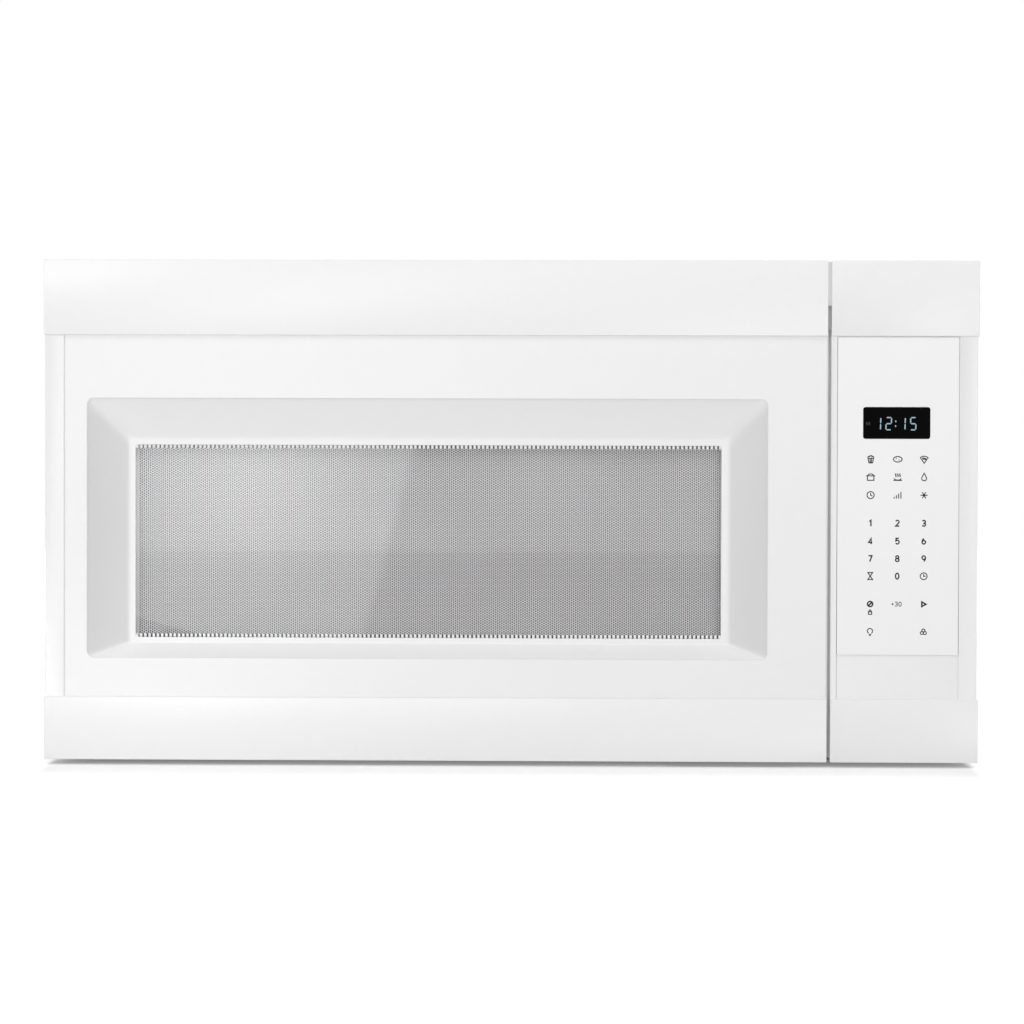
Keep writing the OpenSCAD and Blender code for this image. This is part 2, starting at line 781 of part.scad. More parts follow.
fan_shaft_r = 2.5;
fan_plate_y = fan_y - 3;
spider_y = fan_y + 8;

// Plate and ring that the cooling fan turns in, with the spider that holds its motor
module cooling_shroud() {
  t = 1.5;
  color("white") {
    difference() {
      union() {
        block(guide_x0, x_in, fan_plate_y, fan_plate_y + t, fan_z - 64, fan_z + 64);
        bar_y(fan_x, fan_plate_y - 9, fan_plate_y + t, fan_z, fan_r + 3);
      }
      bar_y(fan_x, fan_plate_y - 10, fan_plate_y + t + 1, fan_z, fan_r + 1);
    }
    translate([fan_x, 0, fan_z]) for (i = [0:2]) rotate([0, 90 + i * 120, 0]) {
      bar_y(fan_r + 8, fan_plate_y + t, spider_y + 3, 0, 4);
      block(12, fan_r + 8, spider_y, spider_y + 3, -4, 4);
    }
    difference() {
      bar_y(fan_x, spider_y, spider_y + 3, fan_z, 19);
      bar_y(fan_x, spider_y - 1, spider_y + 4, fan_z, fan_shaft_r + 2);
    }
  }
}

// Motor of the cooling fan
module cooling_motor() {
  color("gray") difference() {
    union() {
      block(fan_x - 24, fan_x + 24, spider_y + 3, spider_y + 21, fan_z - 24, fan_z + 24);
      bar_y(fan_x, spider_y + 21, spider_y + 25, fan_z, 8);
    }
    bar_y(fan_x, spider_y + 2, spider_y + 23, fan_z, fan_shaft_r + run_fit);
  }
}

// Axial fan that cools the magnetron and the transformer
module cooling_fan() {
  color("white") {
    bar_y(fan_x, fan_y - 9, fan_y + 6, fan_z, 13);
    bar_y(fan_x, fan_y - 9, spider_y + 22, fan_z, fan_shaft_r);
    translate([fan_x, fan_y - 2, fan_z]) intersection() {
      for (i = [0:4]) rotate([0, i * 72, 0]) rotate([0, 0, 28]) block(-13, 13, -0.8, 0.8, 10, fan_r);
      bar_y(0, -9, 9, 0, fan_r - 1.5);
    }
  }
}

// Oven lamp behind the holes in the oven's wall
module oven_lamp() {
  x = guide_x0 + 14;
  color("ivory") difference() {
    union() {
      block(guide_x0, guide_x0 + 28, lamp_y - 16, lamp_y + 16, lamp_z + 20, lamp_z + 34);
      block(guide_x0, guide_x0 + 1.2, lamp_y - 16, lamp_y + 16, lamp_z + 34, lamp_z + 46);
    }
    post(x, lamp_y, lamp_z + 19, lamp_z + 30, 8.1);
  }
  color("lightyellow") {
    post(x, lamp_y, lamp_z, lamp_z + 30, 8);
    translate([x, lamp_y, lamp_z]) sphere(r = 11);
  }
}

// Thermal cutouts on the oven's top, the magnetron and the oven's left wall
module thermal_cutouts() {
  color("ivory") {
    for (p = [[ox1 - 112, lamp_y + 30, oven_top], [guide_x1 + 42, mag_y, mag_z + 40]]) translate(p) {
      cylinder(r = 9, h = 6);
      for (s = [-1, 1]) translate([s * 5 - 3, -0.4, 6]) cube([6, 0.8, 8]);
    }
    bar_x(ox0 - oven_t - 6, ox0 - oven_t, turn_y - 28, (oven_z + oz1) / 2 + 27, 9);
  }
}

// Route of the low-voltage harness, from the control board's connector to the mains filter
harness_y0 = board_y + board_t + 10;
harness_y1 = y_back - sheet_t - 24;
harness_x = x_in - 8.8;
harness_z = z_in - 70.8;
harness_a = [[ctl_x1 - 25.5, harness_y0, ctl_z1 - 21], [ctl_x1 - 25.5, harness_y0 + 12, ctl_z1 - 21],
  [harness_x - 14, harness_y0 + 26, ctl_z1 - 18], [harness_x - 4, harness_y0 + 44, ctl_z1 - 12],
  [harness_x, harness_y0 + 70, harness_z + 1], [harness_x, -40, harness_z + 5],
  [harness_x, 20, harness_z + 5],
  [harness_x, 80, harness_z + 5], [harness_x - 10, harness_y1 - 54, harness_z + 4],
  [harness_x - 32, harness_y1 - 26, harness_z + 1], [harness_x - 48, harness_y1 - 14, harness_z],
  [harness_x - 52, harness_y1 - 6, harness_z], [harness_x - 52, harness_y1, harness_z]];
// Route of the high-voltage lead, from the transformer to the magnetron's filter box
harness_b = [[trafo_x, trafo_y + 20, sheet_t + 84], [trafo_x, trafo_y + 20, 98],
  [trafo_x + 8, trafo_y + 24, 116],
  [trafo_x + 22, trafo_y + 36, 140], [trafo_x + 26, trafo_y + 54, 168], [trafo_x + 26, trafo_y + 70, 192],
  [trafo_x + 26, mag_y - 38, mag_z - 2], [trafo_x + 26, mag_y - 34, mag_z],
  [trafo_x + 26, mag_y - 28, mag_z]];

// Harness and high-voltage lead of the electric bay
module wiring() {
  color("black") tube_along(harness_a, 3.5, 8);
  color("red") tube_along(harness_b, 2.5, 8);
}

shaft_r = 3.5;
shaft_flat = 2.6;
coupler_z = oven_z + 2;
motor_z = oven_bottom - 16;

// Synchronous motor under the oven's floor
module turntable_motor() {
  color("silver") difference() {
    union() {
      post(turn_x, turn_y, motor_z, oven_bottom, 24);
      block(turn_x - 32, turn_x + 32, turn_y - 6, turn_y + 6, oven_bottom - 1.2, oven_bottom);
    }
    post(turn_x, turn_y, motor_z + 2, oven_bottom + 1, shaft_r + run_fit);
  }
}

// Motor shaft with its flat
module turntable_shaft() {
  color("white") difference() {
    post(turn_x, turn_y, motor_z + 2 + move_gap, coupler_z + 9, shaft_r);
    block(turn_x + shaft_flat, turn_x + 9, turn_y - 9, turn_y + 9, coupler_z - 1, coupler_z + 12);
  }
}

// Three-lobed hub that the tray's lugs drop into
module turntable_coupler() {
  top = tray_z - move_gap;
  color("lightgray") translate([turn_x, turn_y, 0]) difference() {
    union() {
      post(0, 0, coupler_z, top, 11);
      for (i = [0:2]) rotate(i * 120) block(0, 24, -9, 9, coupler_z, top);
    }
    translate([0, 0, coupler_z - 1]) linear_extrude(1 + 9 + move_gap) intersection() {
      circle(shaft_r + 0.05);
      rect(-9, shaft_flat + 0.05, -9, 9);
    }
  }
}

tray_r = (oy1 - y_flange) / 2 - tray_clear;
roller_track = tray_r - roller_in;

// Glass tray with its rim and the lugs under its middle
module turntable_tray() {
  r = tray_r;
  flat_r = r - 14;
  color("lightcyan") translate([turn_x, turn_y, tray_z]) {
    rotate_extrude($fn = 96) polygon([[0, 0], [flat_r, 0], [r - 3, tray_h - 4], [r, tray_h - 2], [r, tray_h],
      [r - 6, tray_h], [flat_r - 1.5, tray_t], [0, tray_t]]);
    for (i = [0:2]) rotate(60 + i * 120) post(18, 0, -5, 1, 4);
  }
}

ring_r = roller_track - roller_w / 2 - 4;
axle_r = 2.2;

// Plastic ring with the three axles of its rollers
module roller_ring() {
  end_r = roller_track + roller_w / 2 + move_gap;
  color("whitesmoke") translate([turn_x, turn_y, roller_z]) {
    difference() {
      post(0, 0, -3, 3, ring_r);
      post(0, 0, -4, 4, ring_r - 8);
    }
    for (i = [0:2]) rotate(90 + i * 120) {
      bar_x(ring_r - 4, end_r + 2, 0, 0, axle_r);
      bar_x(end_r, end_r + 2, 0, 0, axle_r + 1);
    }
  }
}

// Roller number i, turning on its axle
module roller(i) {
  half = roller_w / 2;
  color("white") translate([turn_x, turn_y, roller_z]) rotate(90 + i * 120) difference() {
    bar_x(roller_track - half, roller_track + half, 0, 0, roller_r);
    bar_x(roller_track - half - 1, roller_track + half + 1, 0, 0, axle_r + run_fit);
  }
}

module roller_1() {
  roller(0);
}

module roller_2() {
  roller(1);
}

module roller_3() {
  roller(2);
}

// Moulded board behind the flange that the latch hooks catch, with its cheek for the switches
module latch_board() {
  y0 = y_flange + oven_t;
  color("ivory") difference() {
    union() {
      block(slot_x0 - 10, slot_x1 + 5, y0, y0 + board_plate_t, latch_z0 - 6, latch_z1 + 18);
      block(slot_x0 - 10, slot_x0 - 7.5, y0, y0 + 36, latch_z0 - 6, latch_z1 + 18);
    }
    for (z = hook_z) block(slot_x0, slot_x1, y0 - 1, y0 + board_plate_t + 1, z - slot_low, z + slot_high);
  }
}

// Three interlock switches that the hooks press
module door_switches() {
  x0 = slot_x0 - 7.5;
  y0 = hook_tip_y + 0.4;
  color("black") for (z = [hook_z[0], hook_z[0] + 26, hook_z[1]])
    block(x0, x0 + 20, y0 + 3, y0 + 19, z - 7, z + 9);
  color("red") for (z = [hook_z[0], hook_z[0] + 26, hook_z[1]])
    block(x0 + 9, x0 + 12, y0, y0 + 3, z - 2, z + 2);
}

hinge_low_z = 7;
hinge_up_z = flange_z1 - 4;

// One hinge on the case: a leg on the steel front, a tab over it and the pin; s is 1 when the pin points up
module hinge(z, z_leg0, z_leg1, s) {
  tab0 = s > 0 ? z : z - hinge_t;
  pin_end = z + s * (hinge_t + washer_t + move_gap + hinge_t + 2);
  block(hinge_x + 1, hinge_x + 23, y_flange - 2.5, y_flange, z_leg0, z_leg1);
  block(hinge_x + 1, hinge_x + 18, hinge_y, y_flange, tab0, tab0 + hinge_t);
  post(hinge_x, hinge_y, tab0, tab0 + hinge_t, hinge_head_r - 0.5);
  post(hinge_x, hinge_y, min(tab0, pin_end), max(tab0, pin_end), hinge_pin_r);
}

module hinge_lower() {
  color("silver") hinge(hinge_low_z, 4, cz0 - 1, 1);
}

module hinge_upper() {
  color("silver") hinge(hinge_up_z, max(flange_z1 - 32, cz1 + 1), flange_z1 - 1, -1);
}

// Nylon washers between the case's tabs and the door's straps
module hinge_washers() {
  color("white") for (z = [hinge_low_z + hinge_t, hinge_up_z - hinge_t - washer_t]) difference() {
    post(hinge_x, hinge_y, z, z + washer_t, 6);
    post(hinge_x, hinge_y, z - 1, z + washer_t + 1, hinge_pin_r + run_fit);
  }
}

y_seat = y_film + film_t + 0.4;
fascia_t = 2.5;

// Left side of the fascia in X and Y where it makes room behind the door's rolled edge
module scoop_shape() {
  t = fascia_t;
  polygon([[x_ctl, y_front + 3], [x_ctl, y_front + 12], [x_ctl + 12, y_front + 24], [x_ctl + 12, y_flange],
    [x_ctl + 12 + t, y_flange], [x_ctl + 12 + t, y_front + 23],
    [x_ctl + t, y_front + 11], [x_ctl + t, y_front + 3]]);
}

// Control column: bands in line with the door's, the film's seat and the walls back to the case
module control_fascia() {
  x1 = x_right;
  t = fascia_t;
  low = bottom_band_h;
  color("white") difference() {
    union() {
      block(x_ctl, x1, y_front, y_seat + t, z_band, body_h);
      block(x_ctl, x1, y_front, y_seat + t, door_lift, low);
      block(film_x1, x1 - side_step, y_front + side_step, y_seat + t, low, z_band);
      block(x_ctl, film_x0, y_front + side_step, y_seat + t, low, z_band);
      block(film_x0, film_x1, y_seat, y_seat + t, low, z_band);
      block(x_ctl, x1, y_seat, y_flange, body_h - t, body_h);
      block(x_ctl, x1, y_seat, y_flange, door_lift, door_lift + t);
      block(x1 - side_step - t, x1 - side_step, y_seat, y_flange, door_lift, body_h);
      block(x_ctl, x_ctl + t, y_seat, y_flange, door_lift, pocket_z0);
      block(x_ctl, x_ctl + t, y_seat, y_flange, pocket_z1, body_h);
      translate([0, 0, pocket_z0]) linear_extrude(pocket_z1 - pocket_z0) scoop_shape();
      for (z = [pocket_z0 - t, pocket_z1]) block(x_ctl, x_ctl + 12 + t, y_front + 12, y_flange, z, z + t);
      for (x = ctl_post_x, z = ctl_post_z) bar_y(x, y_seat + t, board_y, z, 3.5);
    }
    block(display_x0 + 2, display_x0 + display_w - 2, y_seat - 1, y_seat + t + 1,
      display_z + 2, display_z + display_h - 2);
    block(tail_x0 - 1, tail_x0 + tail_w + 1, y_seat - 1, y_seat + t + 1, tail_z - 1, tail_z + 1.4);
    for (x = ctl_post_x, z = ctl_post_z) bar_y(x, board_y - 8, board_y + 1, z, 1.25);
  }
}

// Rectangle of the display's window in X and Z, drawn larger by g
module display_shape(g) {
  round_rect(display_x0 - g, display_x0 + display_w + g, display_z - g, display_z + display_h + g, 2 + g);
}

// Printed film over the keys
module key_film() {
  color("ghostwhite") slab_y(y_film, y_film + film_t) difference() {
    rect(film_x0, film_x1, film_z, film_z1);
    display_shape(0.1);
  }
}

// Sheet of key contacts behind the film, with its ribbon tail to the board
module key_membrane() {
  y = y_film + film_t;
  color("lightgray") {
    slab_y(y, y_seat) difference() {
      rect(film_x0 + 1, film_x1 - 1, film_z + 1, film_z1 - 1);
      display_shape(0.1);
    }
    block(tail_x0, tail_x0 + tail_w, y, board_y, tail_z, tail_z + 0.4);
  }
}

// Dark window over the display
module display_window() {
  color("black") slab_y(y_film, y_seat) display_shape(0);
}

// Display block on the control board, and its four digits' carrier
module display_module() {
  g = 4;
  color("dimgray") block(display_x0 + g, display_x0 + display_w - g, y_seat + 0.6, board_y,
    display_z + g, display_z + display_h - g);
}

// Circuit board of the controls
module control_board() {
  color("seagreen") slab_y(board_y, board_y + board_t) difference() {
    rect(ctl_x0, ctl_x1, ctl_z0, ctl_z1);
    for (x = ctl_post_x, z = ctl_post_z) translate([x, z]) circle(1.6);
  }
}

// Relays, transformer, capacitors and connectors on the back of the board
module board_parts() {
  y = board_y + board_t;
  color("black") {
    for (i = [0:3]) translate([ctl_x0 + 8, y, ctl_z0 + 62 + i * 26]) cube([16, 13, 18]);
    translate([ctl_x0 + 46, y, ctl_z1 - 90]) cube([32, 12, 26]);
    for (i = [0:2]) bar_y(ctl_x0 + 44 + i * 16, y, y + 12, ctl_z1 - 108, 5);
    translate([ctl_x0 + 40, y, ctl_z0 + 72]) cube([26, 8, 26]);
    translate([ctl_x1 - 38.5, y, ctl_z1 - 24]) cube([26, 10, 6]);
    translate([ctl_x0 + 30, y, ctl_z0 + 18]) cube([36, 8, 8]);
  }
}

// Finger pull in the door's underside, at its free end
pull_x1 = x_door - 28;
pull_x0 = pull_x1 - pull_l;
pull_z1 = door_lift + skin_t + pull_h;
pull_y1 = cy0 - 2;

// Moulded door front: the bands, the walls round the shell and the finger pull
module door_frame() {
  x0 = x_left + band_inset;
  y1 = cy0 + choke_t;
  color("white") difference() {
    union() {
      block(x_left, x_door, y_front, y_panel, z_band, body_h);
      block(x_left, x_door, y_front, y_panel, door_lift, bottom_band_h);
      block(x0, x_band, y_front + side_step, y_panel, bottom_band_h, z_band);
      block(x0, x0 + skin_t, y_panel, y1, door_lift, body_h);
      block(x_left, x_door, y_panel, y1, body_h - skin_t, body_h);
      block(x_left, x_door, y_panel, y1, door_lift, door_lift + skin_t);
      block(x_door - skin_t, x_door, y_panel, y1, door_lift, pocket_z0);
      block(x_door - skin_t, x_door, y_panel, y1, pocket_z1, body_h);
      block(pull_x0 - 2, pull_x1 + 2, y_panel, pull_y1 + 2 - 0.2, door_lift, pull_z1 + 2);
    }
    block(pull_x0, pull_x1, y_panel + 2, pull_y1 - 0.2, door_lift - 1, pull_z1);
  }
}

boss_x = [(rx0 + cx0) / 2, (rx1 + x_edge) / 2];
boss_z = [rz0 - 16, (rz0 + rz1) / 2, rz1 + 24];

// Inset door panel: its flat face, the sloping recess round the window and the rolled pull edge
module door_panel() {
  z0 = bottom_band_h - band_lap;
  z1 = z_band + band_lap;
  lip = 2;
  color("whitesmoke") {
    difference() {
      union() {
        slab_y(y_panel, y_panel + skin_t) rect(x_band - band_lap, x_edge - pull_r + 0.2, z0, z1);
        hull($fn = 32) {
          slab_y(y_panel, y_panel + 1) round_rect(rx0 - lip, rx1 + lip, rz0 - lip, rz1 + lip, recess_r + lip);
          slab_y(y_glass - 0.5, y_glass) round_rect(fx0 - lip, fx1 + lip, fz0 - lip, fz1 + lip, recess_r);
        }
      }
      hull($fn = 32) {
        slab_y(y_panel - 0.02, y_panel) round_rect(rx0, rx1, rz0, rz1, recess_r);
        slab_y(y_floor - 0.02, y_floor) round_rect(fx0, fx1, fz0, fz1, window_r);
      }
      slab_y(y_floor - 1, y_glass + 1) round_rect(wx0, wx1, wz0, wz1, window_r);
    }
    translate([0, 0, bottom_band_h]) linear_extrude(z1 - bottom_band_h) {
      translate([x_edge - pull_r, y_panel + pull_r]) difference() {
        circle(pull_r);
        circle(pull_r - skin_t);
        rect(-9, 0, -9, 9);
        rect(-9, 9, 0, 9);
      }
      rect(x_edge - skin_t, x_edge, y_panel + pull_r - 0.2, cy0);
    }
    for (x = boss_x, z = boss_z) bar_y(x, y_panel + skin_t - 0.5, cy0, z, 4);
  }
}

// Outer window glass, held behind the rim
module door_glass() {
  color("lightcyan") slab_y(y_glass, y_glass + glass_t) round_rect(glass_x0, glass_x1, glass_z0, glass_z1, 3);
}

bay_x0 = glass_x0 - 8;
bay_x1 = glass_x1 + 8;
bay_z0 = glass_z0 - 8;
bay_z1 = glass_z1 + 8;
guide_wall_x = latch_x1 + move_gap;

// Frame of sheet metal, standing from the pan to the choke's plane
module choke_wall(x0, x1, z0, z1) {
  slab_y(cy0, cy1) difference() {
    rect(x0, x1, z0, z1);
    rect(x0 + choke_t, x1 - choke_t, z0 + choke_t, z1 - choke_t);
  }
}

// Steel pan of the door: plate, choke walls, latch guides and hinge straps
module door_choke() {
  x0 = x_left + band_inset + skin_t;
  low_strap = hinge_low_z + hinge_t + washer_t + move_gap;
  high_strap = hinge_up_z - hinge_t - washer_t - move_gap - hinge_t;
  plate_x1 = x_edge - skin_t - 3;
  color("silver") difference() {
    union() {
      block(x0, plate_x1, cy0, cy0 + choke_t, pocket_z0, pocket_z1);
      block(x0, x_door - skin_t, cy0, cy0 + choke_t, door_lift + skin_t, pocket_z0);
      block(x0, x_door - skin_t, cy0, cy0 + choke_t, pocket_z1, body_h - skin_t);
      block(plate_x1 - 1, x_edge - skin_t + 1.5, cy0, cy0 + choke_t, pocket_z0, pocket_z1);
      choke_wall(cx0, cx1, cz0, cz1);
      choke_wall(bay_x0, bay_x1, bay_z0, bay_z1);
      slab_y(cy1 - 3, cy1 - 2) difference() {
        rect(bay_x0, bay_x1, bay_z0, bay_z1);
        rect(bay_x0 + 5, bay_x1 - 5, bay_z0 + 5, bay_z1 - 5);
      }
      block(guide_wall_x, guide_wall_x + choke_t, cy0, cy1, latch_z0 - 22, latch_z1 + 10);
      for (z = [latch_z0 - 22, latch_z1 + 9]) block(cx1, guide_wall_x, cy0, cy1, z, z + choke_t);
      for (z = [latch_z0 + 8, latch_z1 - 18])
        block(latch_x0, latch_x1, cy0 + choke_t, latch_y0 - move_gap, z, z + 10);
      for (z = [low_strap, high_strap]) {
        post(hinge_x, hinge_y, z, z + hinge_t, hinge_head_r);
        block(hinge_x - 6, hinge_x + 18, cy0 + choke_t, hinge_y + 5, z, z + hinge_t);
      }
    }
    slab_y(cy0 - 1, cy0 + choke_t + 1) rect(wx0 - 2, wx1 + 2, wz0 - 2, wz1 + 2);
    post(hinge_x, hinge_y, low_strap - 1, high_strap + hinge_t + 1, hinge_pin_r + run_fit);
    block(x0 - 1, hinge_x + 9, cy0 - 1, cy0 + choke_t + 0.01, 0, low_strap - 0.01);
    block(x0 - 1, hinge_x + 9, cy0 - 1, cy0 + choke_t + 0.01, high_strap + hinge_t + 0.01, hinge_up_z + 2);
  }
}

// Perforated sheet between the glass and the oven; its fine holes are left to the finish
module door_screen() {
  lap = 4;
  edge = 2 + lap;
  color("whitesmoke") slab_y(cy0 - screen_t, cy0) rect(wx0 - edge, wx1 + edge, wz0 - edge, wz1 + edge);
}

// Inner window on the oven's side of the door
module door_inner_window() {
  g = choke_t + 0.2;
  color("lightcyan") slab_y(cy1 - 2, cy1) rect(bay_x0 + g, bay_x1 - g, bay_z0 + g, bay_z1 - g);
}

// Plastic cover over the choke, with the slots of the latch hooks
module choke_cover() {
  color("dimgray") slab_y(cy1, y_door) difference() {
    rect(cx0, guide_wall_x + choke_t, cz0, cz1);
    rect(bay_x0 + 5, bay_x1 - 5, bay_z0 + 5, bay_z1 - 5);
    for (z = hook_z) rect(hook_x0 - 0.6, hook_x0 + hook_w + 0.6, z - slot_low, z + slot_high);
  }
}

// Latch bar with its two hooks
module latch_hooks() {
  half = hook_h / 2;
  barb_y = y_flange + oven_t + board_plate_t + 0.4;
  color("white") {
    block(latch_x0, latch_x1, latch_y0, latch_y1, latch_z0, latch_z1);
    for (z = hook_z) slab_x(hook_x0, hook_x0 + hook_w) translate([0, z]) polygon([[latch_y1 - 2, -half],
      [hook_tip_y - 3, -half], [hook_tip_y, -half + 3], [hook_tip_y, 1], [barb_y + 1.5, half + latch_lift],
      [barb_y, half + latch_lift], [barb_y, half], [latch_y1 - 2, half]]);
  }
}

// Spring under the latch bar
module latch_spring() {
  z0 = latch_z0 - 21 + move_gap;
  z1 = latch_z0 - move_gap;
  wire = 0.5;
  turns = 7;
  n = turns * 12;
  x = (latch_x0 + latch_x1) / 2;
  y = (latch_y0 + latch_y1) / 2;
  path = [for (i = [0:n])
    [x + 4 * cos(i * 30), y + 4 * sin(i * 30), z0 + wire + (z1 - z0 - 2 * wire) * i / n]];
  color("silver") tube_along(path, wire, 6);
}

case_wrap();
base_pan();
back_panel();
oven_cavity();
component_shelf();
control_bracket();
vent_grille();
charcoal_filter();
duct_cover();
bolt_plates();
cord_gland();
case_screws();
grease_filter_left();
grease_filter_right();
cooktop_lenses();
cooktop_lamps();
vent_blower_housing();
vent_motor();
vent_rotor();
waveguide();
waveguide_cover();
magnetron();
hv_transformer();
hv_capacitor();
noise_filter();
cooling_shroud();
cooling_motor();
cooling_fan();
oven_lamp();
thermal_cutouts();
wiring();
turntable_motor();
turntable_shaft();
turntable_coupler();
turntable_tray();
roller_ring();
roller_1();
roller_2();
roller_3();
latch_board();
door_switches();
hinge_lower();
hinge_upper();
hinge_washers();
control_fascia();
key_film();
key_membrane();
display_window();
display_module();
control_board();
board_parts();
door_frame();
door_panel();
door_glass();
door_choke();
door_screen();
door_inner_window();
choke_cover();
latch_hooks();
latch_spring();
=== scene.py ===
# %% [markdown]
# Over-the-range microwave hood, seen from the front.
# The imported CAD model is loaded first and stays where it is.
# Every new piece is placed from the boxes of its solids, in metres.

# %% The CAD model
import json
import math

import bmesh
import bpy
import numpy as np
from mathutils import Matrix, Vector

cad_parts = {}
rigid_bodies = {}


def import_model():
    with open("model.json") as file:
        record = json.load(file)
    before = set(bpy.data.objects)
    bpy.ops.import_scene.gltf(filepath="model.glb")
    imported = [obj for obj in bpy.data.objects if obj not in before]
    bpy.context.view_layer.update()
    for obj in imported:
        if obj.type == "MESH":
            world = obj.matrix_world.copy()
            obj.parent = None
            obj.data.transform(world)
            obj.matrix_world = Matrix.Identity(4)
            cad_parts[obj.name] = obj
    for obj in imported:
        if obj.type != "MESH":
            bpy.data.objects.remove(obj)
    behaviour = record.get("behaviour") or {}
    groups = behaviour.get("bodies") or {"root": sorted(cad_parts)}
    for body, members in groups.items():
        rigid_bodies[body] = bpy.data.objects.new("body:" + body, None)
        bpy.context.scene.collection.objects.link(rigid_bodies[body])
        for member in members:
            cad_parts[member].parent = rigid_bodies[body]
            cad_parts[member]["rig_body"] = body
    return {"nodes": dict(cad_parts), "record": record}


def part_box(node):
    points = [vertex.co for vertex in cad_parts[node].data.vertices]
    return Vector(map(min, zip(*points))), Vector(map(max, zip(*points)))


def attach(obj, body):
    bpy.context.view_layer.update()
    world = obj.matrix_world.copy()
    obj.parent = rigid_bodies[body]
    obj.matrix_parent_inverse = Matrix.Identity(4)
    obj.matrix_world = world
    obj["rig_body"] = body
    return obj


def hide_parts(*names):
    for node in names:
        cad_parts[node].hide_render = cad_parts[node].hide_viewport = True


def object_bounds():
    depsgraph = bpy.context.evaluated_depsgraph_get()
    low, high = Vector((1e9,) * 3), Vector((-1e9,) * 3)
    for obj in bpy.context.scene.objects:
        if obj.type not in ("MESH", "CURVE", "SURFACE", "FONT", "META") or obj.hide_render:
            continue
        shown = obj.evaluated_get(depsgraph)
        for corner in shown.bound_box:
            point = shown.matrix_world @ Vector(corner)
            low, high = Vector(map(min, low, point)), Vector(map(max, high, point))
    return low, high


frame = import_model()
cad_low, cad_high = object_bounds()
nodes = frame["nodes"]
MM = 0.001
print("CAD box in mm:", [round(v / MM, 1) for v in (*cad_low, *cad_high)])

# %% [markdown]
# The photograph looks straight at the front from about two metres.
# The camera's place and its small turns were fitted to the four corners of the front,
# so a millimetre on the front plane falls on the same pixel as in the photograph.
# Places are in metres and turns in radians, the lens and the sensor in millimetres.

# %% Camera
CAMERA_PLACE = (0.03186, -2.197, 0.23044)
CAMERA_TILT = -0.01332
CAMERA_ROLL = -0.00272
CAMERA_TURN = 0.01513
CAMERA_LENS = 86.659
SENSOR_WIDE = 36

camera_data = bpy.data.cameras.new("camera")
camera_data.sensor_width = SENSOR_WIDE
camera_data.lens = CAMERA_LENS
camera = bpy.data.objects.new("camera", camera_data)
camera.location = CAMERA_PLACE
camera.rotation_euler = (math.pi / 2 + CAMERA_TILT, CAMERA_ROLL, CAMERA_TURN)
bpy.context.scene.collection.objects.link(camera)
bpy.context.scene.camera = camera
print("camera", [round(v, 3) for v in camera.location], "lens", camera_data.lens)

# %% [markdown]
# Node trees are built with one helper that adds a node, sets it and links it.
# Colours are written as sRGB hex, as a paint chart gives them, and turned to linear here.

# %% Helpers for materials
def linear(code):
    """Linear colour of an sRGB hex: a channel and its offset to the power 2.4, or a 12.92th when dark."""
    value = np.array([int(code[i:i + 2], 16) for i in (1, 3, 5)]) / 255
    low = value / 12.92
    high = ((value + 0.055) / 1.055) ** 2.4
    return (*np.where(value <= 0.04045, low, high).tolist(), 1.0)


def add(tree, kind, inputs=None, **settings):
    """Adds one node, sets its options and its inputs, and links each input that is given as a socket."""
    made = tree.nodes.new(kind)
    for option, value in settings.items():
        setattr(made, option, value)
    for socket, value in (inputs or {}).items():
        if isinstance(value, bpy.types.NodeSocket):
            tree.links.new(value, made.inputs[socket])
        else:
            made.inputs[socket].default_value = value
    return made


def start_material(name, **shader_inputs):
    """An empty material with a Principled shader, its output and the object's own coordinates."""
    material = bpy.data.materials.new(name)
    material.use_nodes = True
    tree = material.node_tree
    tree.nodes.clear()
    place = add(tree, "ShaderNodeTexCoord").outputs["Object"]
    shader = add(tree, "ShaderNodeBsdfPrincipled", shader_inputs)
    add(tree, "ShaderNodeOutputMaterial", {"Surface": shader.outputs["BSDF"]})
    return material, tree, shader, place


def per_mm(size):
    """Texture scale at which one feature is size millimetres wide."""
    return 1 / (size * MM)


# %% [markdown]
# The studio is a pale floor under a white room.
# The white that the camera, gloss and glass meet comes from Light Path,
# so it adds nothing to the light on the object. It ends at the first dull surface:
# lamp light already reaches what lies behind the glass by shadow rays, and would count twice.

# %% Room
ROOM_LIGHT = 0.49

world = bpy.data.worlds.new("white room")
bpy.context.scene.world = world
world.use_nodes = True
room = world.node_tree
room.nodes.clear()
ray = add(room, "ShaderNodeLightPath")
seen = ray.outputs["Is Camera Ray"]
for kind in ("Is Glossy Ray", "Is Transmission Ray"):
    seen = add(room, "ShaderNodeMath", {0: seen, 1: ray.outputs[kind]}, operation="MAXIMUM").outputs[0]
fresh = add(room, "ShaderNodeMath", {0: ray.outputs["Diffuse Depth"], 1: 0.5}, operation="LESS_THAN")
strength = add(room, "ShaderNodeMix", {0: seen, 2: ROOM_LIGHT, 3: fresh.outputs[0]})
white = add(room, "ShaderNodeBackground", {"Color": (1, 1, 1, 1), "Strength": strength.outputs[0]})
add(room, "ShaderNodeOutputWorld", {"Surface": white.outputs[0]})
bpy.context.scene.view_settings.view_transform = "Standard"
print("room light", ROOM_LIGHT)

# %% [markdown]
# Where this painted light ramps up, it sets how far the shadow reaches and where its ends fall.
# The floor is matt white paper. The hood hangs on a wall in use,
# so the paper lies a few millimetres below it. Lamps fall off with distance and its far part would turn grey,
# so what the camera sees of it gets painted light: a little at the object's foot, where its real shadow has
# to stay, more from a hand's width in front of it and from its sides outwards, and most far off.
# All places and sizes are in metres.

# %% Floor
FLOOR_HALF = 6.0
FLOOR_Z = -0.003

